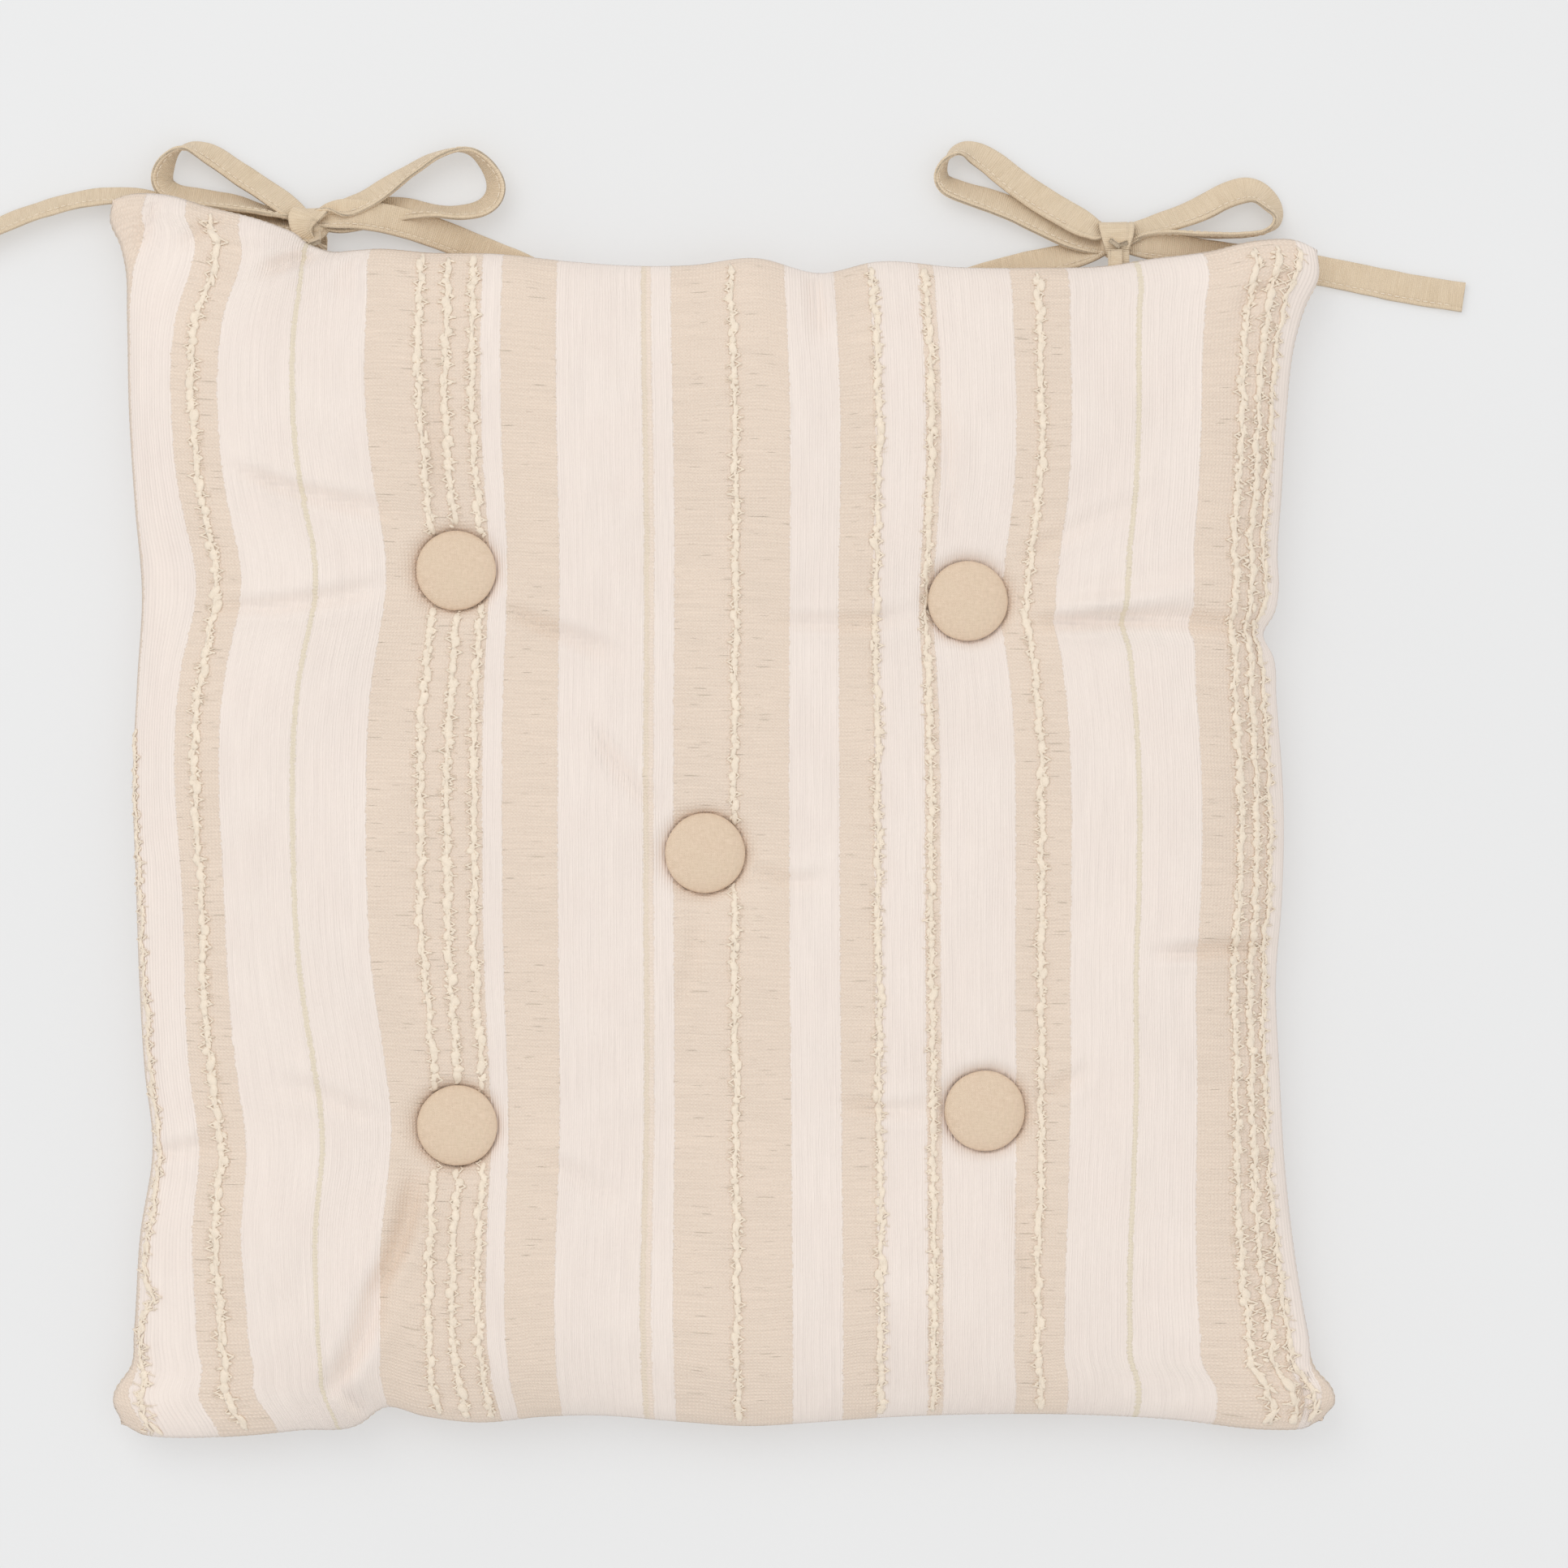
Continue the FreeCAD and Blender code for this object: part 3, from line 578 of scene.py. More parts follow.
def make_knot(side):
    (x, y, z), deep, high, turns = KNOTS[side]
    degrees = np.linspace(WRAP_FROM, WRAP_TO, 170)
    turn = np.radians(degrees)
    ends = np.minimum(degrees - WRAP_FROM, WRAP_TO - degrees)
    draw = 1 - 0.24 * np.exp(-(ends / 16) ** 2)  # both ends are tucked inside
    shift = curve([(at, s) for at, _, s in turns], degrees % 360)
    lift = np.stack([x + shift, y - deep * draw * np.cos(turn), z + high * draw * np.sin(turn)], 1)
    way = unit(np.gradient(lift, axis=0))
    wide = unit(np.array([1.0, 0, 0]) - way * way[:, :1])
    widths = curve([(at, w) for at, w, _ in turns], degrees % 360) * (1 - 0.3 * np.exp(-(ends / 12) ** 2))
    points, faces, places = tape_mesh(lift, (way, wide, np.cross(way, wide)), (along(lift), widths), seed=21, step=0.5)
    # the crossing inside: a lumpy folded core that the wrap is pulled round
    rings, sides = 25, 40
    t, s = np.meshgrid(np.linspace(0, math.pi, rings), np.arange(sides) * TURN / sides, indexing="ij")
    swell = np.sin(t) ** 0.8 * (1 + 0.06 * np.sin(3 * s + 2 * t) + 0.04 * np.sin(5 * s - t))
    core = np.stack([x + 5.6 * np.cos(t), y + 0.6 + (deep - 2.2) * swell * np.cos(s),
                     z - 0.3 + (high - 1.6) * swell * np.sin(s)], 2).reshape(-1, 3)
    faces += tube_faces(rings, sides, len(points))
    points = np.vstack([points, core])
    points[:, 2] = np.maximum(points[:, 2], FLOOR_GAP)
    knot = mesh_piece(side + "_knot_wrap", points, faces, TAPE, side + "_bow", "tape_cloth")
    give_places(knot, "tape", np.vstack([places, core * (1, 1, 0)]))
    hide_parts(side + "_knot")
    return knot


def make_tie(name, route, nodes, length, seed):
    side = name.split("_")[0]
    line = spline_line(name, route)
    frames = frames_along(line, [p[3] for p in route])
    far = along(line)
    hub = KNOTS[side][0]
    near = np.hypot(line[:, 0] - hub[0], line[:, 1] - hub[1])
    # bunched up at the seam and in the knot
    gathered = 1 - 0.58 * np.exp(-(far / 9) ** 2) - 0.38 * np.exp(-(near / 6.5) ** 2) * (far > 14)
    points, faces, places = tape_mesh(line, frames, (far, TAPE_WIDTH * gathered), seed=seed)
    points[:, 2] = np.maximum(points[:, 2], FLOOR_GAP)
    tie = mesh_piece(name, points, faces, TAPE, side + "_bow", "tape_cloth")
    give_places(tie, "tape", places)
    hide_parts(*nodes)
    points, faces = topstitching(line, frames)
    points[:, 2] = np.maximum(points[:, 2], 0.1)
    sewn = mesh_piece(name + "_topstitch", points, faces, TOPSTITCH, side + "_bow", "thread")


knots = {side: make_knot(side) for side in ("left", "right")}
for tie in TIES:
    make_tie(*tie)

# ---------------------------------------------------------------- pad: its shape

SEAM_Z, CROWN_Z, WELL_Z, BUTTON_SEAT_Z = 16.0, 39.4, 8.0, 27.5
# The pad's outline at the seam: x along the left and right sides for places y, and y along the back
# and front for places x.
LEFT_SIDE = [
    (-205, -206), (-190, -205.5), (-183, -200.6), (-171, -199.4), (-137, -197.4), (-108, -193.4), (-80, -196.4),
    (-53, -198.2), (-20, -199.6), (22, -201), (55, -199.6), (84, -198.2), (115, -200.8), (148, -203), (180, -203.8),
    (198, -204.6), (206, -206.6), (213, -209.8), (221, -209)]
RIGHT_SIDE = [
    (-204, 212.6), (-195, 214), (-189, 211.8), (-184, 207.2), (-171, 204.2), (-143, 199.6), (-115, 196.6),
    (-80, 194.8), (-50, 193.8), (-22, 196), (6, 196.8), (48, 194.4), (62, 193.4), (70, 189.9), (77, 193.8),
    (86, 195.4), (96, 195), (118, 196.4), (146, 198.2), (172, 201.4), (184, 205), (194, 209.6), (203.6, 209)]
BACK_SIDE = [
    (-209, 221), (-203.4, 223), (-195, 223), (-182, 218.6), (-166, 214.4), (-157, 211.6), (-150, 209), (-146, 206.2),
    (-141, 204.4), (-135, 203), (-127, 203.4), (-118, 204), (-98, 202.6), (-78, 202.4), (-50, 199.6), (-30, 198.2),
    (-8, 198.4), (14, 200.8), (36, 195.6), (56, 199.6), (84, 197.6), (110, 197.4), (137, 198.2), (150, 200.2),
    (174, 203.2), (190, 206.8), (203, 206.6), (209, 203.6)]
FRONT_SIDE = [
    (-206, -205), (-196, -206.8), (-187, -206.6), (-162, -204.4), (-131, -202.2), (-117.6, -196.4), (-104, -199.6),
    (-89.6, -201.6), (-60, -199.8), (-36, -199.4), (-10, -201.6), (11, -203), (34, -201.8), (56, -200.2),
    (104, -198.8), (130, -199), (162, -200.6), (190, -204), (212.6, -204)]
# Where the cloth is drawn sideways: (x, y, along x, along y, reach in x, reach in y).
PULLS = [
    (-188, 86, 4.6, 0, 62, 26), (116, 80, -4.2, 0, 42, 27), (-176, 206, 9, 0, 34, 22), (-160, -176, 7.4, 0, 44, 46),
    (-178, -208, 15, 0, 32, 19), (-142, -206, 5, 0, 26, 16), (-128, -97, 7, 0, 44, 42), (-122, 92, 5.4, 0, 44, 36),
    (-190, -30, 2.6, 0, 30, 40), (-38, -176, -3.2, 0, 26, 60), (148, -176, -6.2, 0, 44, 60),
    (85, 148, 1.8, 0, 110, 45), (-84, -206, 5, 0, 30, 20), (0, 88, 1, 0, 60, 60), (178, 206, -2, 0, 30, 22),
    (176, 69.5, 3.2, 0, 20, 8)]
# Soft folds in the top: (x, y) to (x, y), depth (a ridge is negative) and half width.
CREASES = [
    ((-166, 127), (-108, 107), 2.2, 4.2), ((-172, 76.5), (-104, 85.5), 2, 4.6), ((-72, 80), (-33, 58), 2.4, 4.4),
    ((-43, 38), (-17, 6), 1.9, 4), ((22, 71.5), (72, 76), 1.8, 4.4), ((104, 77.5), (170, 84), -2.2, 5),
    ((106, 73), (186, 71), 2.8, 4.6), ((150, -39), (195, -41), 2.6, 4.4), ((10, -12), (38, -16), 1.8, 3.8),
    ((42, -93), (78, -92.4), 1.8, 4.2), ((106, -90), (128, -80), 1.8, 4), ((-131, -191), (-112, -152), 4, 6),
    ((-119, -203), (-125, -186), 2.4, 4.6), ((-115, -158), (-100, -114), 4, 5.6),
    ((-136, 205), (-155, 191), 3.4, 4.4), ((-122, 203), (-128, 184), 1.8, 4.4), ((-190, 222), (-203, 200), 2.6, 4.4),
    ((-166, 213), (-186, 203), 2.2, 4.6), ((198, 196), (180, 178), 1.8, 4.5), ((205, -180), (200, -203), 2.2, 3.6),
    ((-60, -112), (-30, -124), 1.3, 4.5), ((-110, -96), (-150, -86), 1.5, 4.6), ((104, 92), (150, 118), 1.2, 5),
    ((84, 104), (76, 150), 1.2, 5), ((-92, 112), (-98, 160), 1.3, 5.2), ((98, -112), (112, -164), 1.4, 5.4),
    ((36, 196), (34, 168), 2.4, 4.6), ((-200, -108), (-168, -106), 2, 4.6), ((-6, -26), (-10, -62), 1.1, 5)]
# Corners that are rounded off: (x, y, along x, along y, reach).
ROUNDED = [(212.6, -204, -3.6, 3.0, 7.0), (-206, -205, 2.4, 2.8, 7.0)]
# Corners where the stripes are drawn sideways: (u, v, along u, reach in u, reach in v).
CORNER_DRIFT = [(-206, -205, -11, 13, 15), (-201, 198, -13, 13, 13), (197, -201, 9, 9, 15)]
GRID = 84  # cells along each side of the cloth that is blown up
COUNT = 221  # points along each side of the finished cloth
HALF = 206.0  # half the pad's width
CLOTH_THICK = 0.8
FLAT_Z, HELD_Z = 17, 9.5  # half the case's height before it is blown up, and at its tufts


def pillow(edge, reach):
    """A rounded rise: 0 at the seam and 1 from reach inwards."""
    return np.sqrt(np.clip(1 - (1 - np.clip(edge / reach, 0, 1)) ** 2, 0, 1))


def inflate():
    """Blows up a flat cloth case, held at its tufts, with Blender's cloth.

    Returns the top and the bottom as grids of points, in mm."""
    n = GRID + 1
    line = np.linspace(-1, 1, n) * HALF
    x, y = np.meshgrid(line, line, indexing="ij")
    edge = np.minimum(HALF - np.abs(x), HALF - np.abs(y))
    z = FLAT_Z * pillow(edge, 50)
    for tuft in TUFTS:
        z -= (FLAT_Z - HELD_Z) * np.exp(-(np.hypot(x - tuft[0], y - tuft[1]) / 24) ** 2) * z / FLAT_Z
    rim = edge <= 1e-6
    top = np.arange(n * n).reshape(n, n)
    bottom = top.copy()
    bottom[~rim] = n * n + np.arange((~rim).sum())
    points = np.vstack([np.stack([x, y, z], 2).reshape(-1, 3), np.stack([x, y, -z], 2)[~rim]])
    faces = np.vstack([quads(top), quads(bottom)[:, ::-1]])
    mesh = bpy.data.meshes.new("blown_case")
    mesh.from_pydata((points * MM).tolist(), [], faces.tolist())
    case = in_scene("blown_case", mesh)
    case.shape_key_add(name="Basis")
    flat = case.shape_key_add(name="flat")
    # the cloth has a little more length than its case, so it ripples
    spare = 1.022 * np.array([1, 1, 0]) * points * MM
    flat.data.foreach_set("co", spare.ravel())
    flat.value = 0
    pins = case.vertex_groups.new(name="tufts")
    for tuft in TUFTS:
        near = np.where(np.hypot(points[:, 0] - tuft[0], points[:, 1] - tuft[1]) < 6.5)[0]
        pins.add([int(i) for i in near], 1.0, "REPLACE")
    cloth = case.modifiers.new("cloth", "CLOTH")
    s = cloth.settings
    s.quality, s.mass = 6, 0.3
    s.tension_stiffness, s.compression_stiffness, s.shear_stiffness, s.bending_stiffness = 32, 10, 5, 1.6
    s.tension_damping, s.compression_damping, s.shear_damping, s.bending_damping = 10, 10, 5, 1
    s.air_damping = 5
    s.use_pressure, s.uniform_pressure_force = True, 3.2
    s.use_pressure_volume, s.target_volume = True, 0.0050
    s.vertex_group_mass, s.rest_shape_key = "tufts", flat
    s.effector_weights.gravity = 0
    cloth.collision_settings.use_collision = False
    scene, frames = bpy.context.scene, 24
    cloth.point_cache.frame_start, cloth.point_cache.frame_end = 1, frames
    for step in range(1, frames + 1):
        scene.frame_set(step)
    held = case.evaluated_get(bpy.context.evaluated_depsgraph_get()).to_mesh()
    blown = np.zeros(len(held.vertices) * 3)
    held.vertices.foreach_get("co", blown)
    blown = blown.reshape(-1, 3) / MM
    scene.frame_set(1)
    bpy.data.objects.remove(case)
    bpy.data.meshes.remove(mesh)
    return blown[top], blown[bottom]


def finer(grid, count):
    """A grid of points read at count by count places, with smooth lines through its own."""
    def one(axis_first):
        n = axis_first.shape[0]
        at = np.linspace(0, n - 1, count)
        i = np.clip(at.astype(int), 0, n - 2)
        t = (at - i).reshape(-1, *([1] * (axis_first.ndim - 1)))
        before, after = np.clip(i - 1, 0, n - 1), np.clip(i + 2, 0, n - 1)
        p0, p1, p2, p3 = (axis_first[k] for k in (before, i, i + 1, after))
        return 0.5 * (2 * p1 + (p2 - p0) * t + (2 * p0 - 5 * p1 + 4 * p2 - p3) * t**2
                      + (3 * p1 - 3 * p2 + p3 - p0) * t**3)
    return np.swapaxes(one(np.swapaxes(one(grid), 0, 1)), 0, 1)


def in_plan(grid):
    """Where each point of a blown grid lies between its sides, from -1 to 1 both ways."""
    x, y = grid[..., 0] / HALF, grid[..., 1] / HALF
    n = grid.shape[0]
    line = np.linspace(-1, 1, n)
    s, t = line[:, None], line[None, :]
    a = x - (x[:1] + 1) * np.exp(-((s + 1) / 0.3) ** 1.5) - (x[-1:] - 1) * np.exp(-((1 - s) / 0.3) ** 1.5)
    b = y - (y[:, :1] + 1) * np.exp(-((t + 1) / 0.3) ** 1.5) - (y[:, -1:] - 1) * np.exp(-((1 - t) / 0.3) ** 1.5)
    for moved, rest in ((a, s), (b, t)):  # evens out the small wrinkles, which only show in height
        moved -= rest
        for _ in range(60):
            inner = moved[1:-1, 1:-1]
            inner += 0.2 * (moved[2:, 1:-1] + moved[:-2, 1:-1] + moved[1:-1, 2:] + moved[1:-1, :-2] - 4 * inner)
            for along_side in (moved[0], moved[-1], moved[:, 0], moved[:, -1]):
                along_side[1:-1] += 0.25 * (along_side[2:] + along_side[:-2] - 2 * along_side[1:-1])
        moved += rest
    return np.clip(a, -1, 1), np.clip(b, -1, 1)


def side_line(side, share):
    """Where a side's line lies, share of the way along it."""
    return curve(side, mixed(side[0][0], side[-1][0], share))


def laid_out(a, b):
    """Plan places, in mm, of points at a, b between the sides, inside the pad's outline."""
    s, t = np.clip((a + 1) / 2, 0, 1), np.clip((b + 1) / 2, 0, 1)
    left, right = side_line(LEFT_SIDE, t), side_line(RIGHT_SIDE, t)
    front, back = side_line(FRONT_SIDE, s), side_line(BACK_SIDE, s)
    (x00, y00), (x10, y10), (x01, y01), (x11, y11) = FRONT_SIDE[0], FRONT_SIDE[-1], BACK_SIDE[0], BACK_SIDE[-1]
    # the sides' bends fade towards the middle
    near_left, near_right, near_front, near_back = (np.exp(-(d / 0.16) ** 1.5) for d in (s, 1 - s, t, 1 - t))
    x = (mixed(mixed(x00, x10, s), mixed(x01, x11, s), t)
         + near_left * (left - mixed(x00, x01, t)) + near_right * (right - mixed(x10, x11, t)))
    y = (mixed(mixed(y00, y10, s), mixed(y01, y11, s), t)
         + near_front * (front - mixed(y00, y10, s)) + near_back * (back - mixed(y01, y11, s)))
    return x, y


def pulled(x, y, across, up_down):
    """The draw of the cloth, which only slides along the seam where it meets it."""
    dx, dy = np.zeros_like(x), np.zeros_like(y)
    for px, py, along_x, along_y, reach_x, reach_y in PULLS:
        amount = np.exp(-((x - px) / reach_x) ** 2 - ((y - py) / reach_y) ** 2)
        dx += along_x * amount
        dy += along_y * amount
    return x + dx * across, y + dy * up_down


def creased(x, y):
    """How far the soft folds sink the cloth at each point."""
    sink = np.zeros_like(x)
    for (x0, y0), (x1, y1), depth, half in CREASES:
        dx, dy = x1 - x0, y1 - y0
        length = math.hypot(dx, dy)
        t = ((x - x0) * dx + (y - y0) * dy) / length**2
        off = ((x - x0) * -dy + (y - y0) * dx) / length + 1.6 * np.sin(t * 4.2 + depth * 3)
        taper = smooth_step(t, -0.12, 0.25) * (1 - smooth_step(t, 0.7, 1.15))
        grow = 0.55 * half * (0.8 + 0.5 * np.clip(t, 0, 1))
        sink += depth * taper * (np.exp(-(off / grow) ** 2) - 0.3 * np.exp(-((np.abs(off) - 2.1 * grow) / grow) ** 2))
    return sink


def crown(a, b, reach=0.40, power=2.3, lift=0.5):
    """A padded dome's height from 0 at its sides to 1."""
    def rise(e):
        return (1 - (1 - np.clip(e / reach, 0, 1)) ** power) ** lift
    return rise(1 - np.abs(a)) * rise(1 - np.abs(b))


def round_tufts(x, y):
    """For each tuft: its number, and every point's distance and direction from it."""
    for k, tuft in enumerate(TUFTS):
        yield k, np.hypot(x - tuft[0], y - tuft[1]), np.arctan2(y - tuft[1], x - tuft[0])


def case_surface():
    """The top and bottom outer surfaces as grids of points, and each grid point's place on the cloth."""
    found = []
    spacing = np.linspace(-1, 1, COUNT)
    cell = 2 * HALF / (COUNT - 1)
    s, t = np.meshgrid(spacing, spacing, indexing="ij")
    from_sides, from_ends = (1 - np.abs(s)) * HALF, (1 - np.abs(t)) * HALF
    rings = np.minimum(from_sides, from_ends)  # cloth distance from the seam
    inside = smooth_step(rings, 0, 10)
    for face, blown in zip(("top", "bottom"), inflate()):
        blown_z = finer(blown, COUNT)[..., 2]
        a, b = (finer(even[..., None], COUNT)[..., 0] for even in in_plan(blown))
        x, y = laid_out(a, b)
        x, y = pulled(x, y, smooth_step(from_sides, 0, 16), smooth_step(from_ends, 0, 16))
        for px, py, along_x, along_y, reach in ROUNDED:
            near = np.exp(-((x - px) ** 2 + (y - py) ** 2) / reach**2)
            x, y = x + along_x * near, y + along_y * near
        if face == "top":
            u, v = x[:, COUNT // 2].copy(), y[COUNT // 2].copy()
        # the two layers turn in towards the seam
        tuck = 0.6 * np.exp(-(rings / 1.5) ** 2) / np.maximum(np.hypot(x, y), 1)
        x, y = x - tuck * x, y - tuck * y
        seam_wave = 0.35 * np.clip(np.where(rings < cell, blown_z, 0), -4, 4)
        ripple = waves(x, y, (95, 44, 23), 4) * 0.55
        pucker = waves(x, y, (17, 10), 9) * 0.45 * np.exp(-((rings - 8) / 9) ** 2)
        if face == "top":
            z = SEAM_Z + (CROWN_Z - SEAM_Z) * (0.45 * blown_z / 31.0 + 0.55 * crown(a, b))
            z = z + (ripple + pucker) * inside
            z -= 1.25 * creased(x, y) * smooth_step(rings, 0, 7)
            for k, r, turn in round_tufts(x, y):
                gather = 1 + 0.13 * np.cos(2 * turn) + 0.10 * np.sin(5 * turn + k * 1.7) + 0.07 * np.sin(8 * turn + k)
                out = np.clip(r - 13.9, 0, 200)
                slope = BUTTON_SEAT_Z + 4.6 * (1 - np.exp(-out / (2.0 * gather))) + 0.34 * out / gather
                z = soft_min(z, slope, 3.0 * smooth_step(r, 14, 24))
                z = np.where(r < 14.0, np.minimum(z, BUTTON_SEAT_Z), z)
            z = np.minimum(z, CROWN_Z + 0.2)
        else:
            z = soft_max(SEAM_Z + blown_z * 0.85, SEAM_Z * (1 - pillow(rings, 36)) - 1.2, 2.0)
            z = soft_max(z + (ripple * 0.4 + pucker) * inside, 0, 1.6)
            for k, r, turn in round_tufts(x, y):
                gather = 1 + 0.16 * np.sin(4 * turn + k) + 0.1 * np.sin(7 * turn + 2 * k)
                well = WELL_Z * np.exp(-(np.clip(r - 7.0, 0, 99) / (11.0 * gather)) ** 1.5)
                z = np.maximum(z, well) + 0.5 * np.sin(9 * turn + k) * np.exp(-((r - 16) / 7) ** 2) * (z > 0.3)
            z = np.maximum(z, 0.0)
        z = np.where(rings < 0.5 * cell, SEAM_Z + (0.35 if face == "top" else -0.35) + seam_wave, z)
        found.append(np.stack([x, y, z], 2))
    return *found, u, v


def normals_of(grid):
    """The upward normals of a grid of points."""
    return unit(np.cross(np.gradient(grid, axis=0), np.gradient(grid, axis=1)))


def panel(name, grid, sign, node):
    """One layer of cloth: its outer face is grid and its inner face lies within. sign is 1 for the upper layer."""
    n = COUNT
    inner = grid - sign * normals_of(grid) * CLOTH_THICK
    ids = np.arange(n * n).reshape(n, n)
    rim = np.concatenate([ids[:-1, 0], ids[-1, :-1], ids[:0:-1, -1], ids[0, :0:-1]])
    rim_next = np.roll(rim, -1)
    side = np.stack([rim, rim + n * n, rim_next + n * n, rim_next], 1)
    faces = np.vstack([quads(ids)[:, ::sign], quads(ids + n * n)[:, ::-sign], side[:, ::sign]])
    points = np.vstack([grid.reshape(-1, 3), inner.reshape(-1, 3)])
    piece = mesh_piece(name, points, faces, CLOTH, "root", "striped_cloth")
    uu, vv = np.meshgrid(cloth_u, cloth_v, indexing="ij")
    for u0, v0, drift, reach_u, reach_v in CORNER_DRIFT:
        uu = uu + drift * np.exp(-((uu - u0) / reach_u) ** 2 - ((vv - v0) / reach_v) ** 2)
    places = np.stack([uu.ravel(), vv.ravel(), np.zeros(n * n)], 1)
    give_places(piece, "cloth", np.vstack([places, places]))
    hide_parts(node)
    # a UV map: nearly all of it holds the outer face
    layer = piece.data.uv_layers.new(name="OFBake")
    s, t = (g.ravel() for g in np.meshgrid(np.linspace(0.004, 0.996, n), np.linspace(0.004, 0.93, n), indexing="ij"))
    at_vertex = np.vstack([np.stack([s, t], 1), np.stack([s * 0.4 + 0.004, 0.945 + t * 0.05], 1)])
    loops = np.zeros(len(piece.data.loops), np.int32)
    piece.data.loops.foreach_get("vertex_index", loops)
    uv = at_vertex[loops]
    walk = np.linspace(0.45, 0.99, len(side))
    rim_uv = np.stack([np.stack([walk + step, np.full(len(side), v)], 1)
                       for step, v in ((0, 0.95), (0, 0.99), (0.0006, 0.99), (0.0006, 0.95))], 1)
    uv[4 * 2 * (n - 1) ** 2:] = rim_uv[:, ::sign].reshape(-1, 2)
    layer.data.foreach_set("uv", uv.astype(np.float32).ravel())
    return piece


top_grid, bottom_grid, cloth_u, cloth_v = case_surface()
top_panel = panel("top_cover", top_grid, 1, "top_panel")
bottom_panel = panel("bottom_cover", bottom_grid, -1, "bottom_panel")


def filling_form():
    """The filling: a coarser closed form just inside both covers."""
    pick = np.unique(np.concatenate([np.arange(0, COUNT, 4), [COUNT - 1]]))
    n = len(pick)
    low, high = top_grid[..., 2].copy(), bottom_grid[..., 2].copy()
    for _ in range(4):  # the lowest cover and the highest underside near each point
        for grown, pick_one in ((low, np.minimum), (high, np.maximum)):
            grown[1:] = pick_one(grown[1:], grown[:-1])
            grown[:-1] = pick_one(grown[:-1], grown[1:])
            grown[:, 1:] = pick_one(grown[:, 1:], grown[:, :-1])
            grown[:, :-1] = pick_one(grown[:, :-1], grown[:, 1:])
    t, b = top_grid[np.ix_(pick, pick)].copy(), bottom_grid[np.ix_(pick, pick)].copy()
    t[..., 2], b[..., 2] = low[np.ix_(pick, pick)] - 1.6, high[np.ix_(pick, pick)] + 1.4
    middle = (t + b) / 2
    rim = np.zeros((n, n), bool)
    rim[0] = rim[-1] = rim[:, 0] = rim[:, -1] = True
    inward = middle.copy()
    inward[..., :2] *= 0.985
    t[rim], b[rim] = inward[rim], inward[rim]
    t[..., 2] = np.maximum(t[..., 2], b[..., 2] + 0.5 * ~rim)
    top_ids = np.arange(n * n).reshape(n, n)
    low_ids = top_ids.copy()
    low_ids[~rim] = n * n + np.arange((~rim).sum())
    points = np.vstack([t.reshape(-1, 3), b[~rim]])
    return points, np.vstack([quads(top_ids), quads(low_ids)[:, ::-1]])


filling = mesh_piece("fibre_fill", *filling_form(), fibre_fill("fibre"), "root", "fibre")
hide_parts("fibre_filling")

# ---------------------------------------------------------------- fringe yarns

def surface_reader(grid, u, v):
    """A function from places on the cloth to points and normals on its surface."""
    normal = normals_of(grid)

    def read(pu, pv):
        fi = np.clip(np.interp(pu, u, np.arange(len(u))), 0, len(u) - 1.001)
        fj = np.clip(np.interp(pv, v, np.arange(len(v))), 0, len(v) - 1.001)
        i, j = fi.astype(int), fj.astype(int)
        a, b = (fi - i)[:, None], (fj - j)[:, None]

        def at(g):
            return mixed(mixed(g[i, j], g[i + 1, j], a), mixed(g[i, j + 1], g[i + 1, j + 1], a), b)

        return at(grid), unit(at(normal))
    return read


def strand(path, radii, sides=6, up=None, flat=0.8, rough=0.0, seed=0):
    """A closed tube of spun yarn along path, flattened towards up."""
    way = unit(np.gradient(path, axis=0))
    if up is None:
        up = np.where(np.abs(way[:, 2:3]) > 0.9, [[1.0, 0, 0]], [[0, 0, 1.0]])
    side = unit(np.cross(way, up))
    up = np.cross(side, way)
    turn = np.arange(sides) * 2 * math.pi / sides
    wide = radii[:, None]
    if rough:
        wide = wide * (1 + rough * np.random.default_rng(seed).uniform(-1, 1, (len(path), sides)))
    ring = (np.cos(turn)[None, :, None] * side[:, None] * wide[..., None]
            + np.sin(turn)[None, :, None] * up[:, None] * (wide * flat)[..., None])
    return (path[:, None] + ring).reshape(-1, 3), closed_tube(len(path), sides)


class Pile:
    """Collects many small strands into one mesh."""

    def __init__(self):
        self.points, self.faces, self.count = [], [], 0

    def add(self, points, faces):
        self.points.append(points)
        self.faces += [[self.count + i for i in f] for f in faces]
        self.count += len(points)

    def piece(self, name, material, body, slot):
        return mesh_piece(name, np.vstack(self.points), self.faces, material, body, slot)


def clear_of_buttons(points):
    """How far each point is from the nearest button's middle, in plan."""
    return np.min([np.hypot(points[:, 0] - t[0], points[:, 1] - t[1]) for t in TUFTS], axis=0)


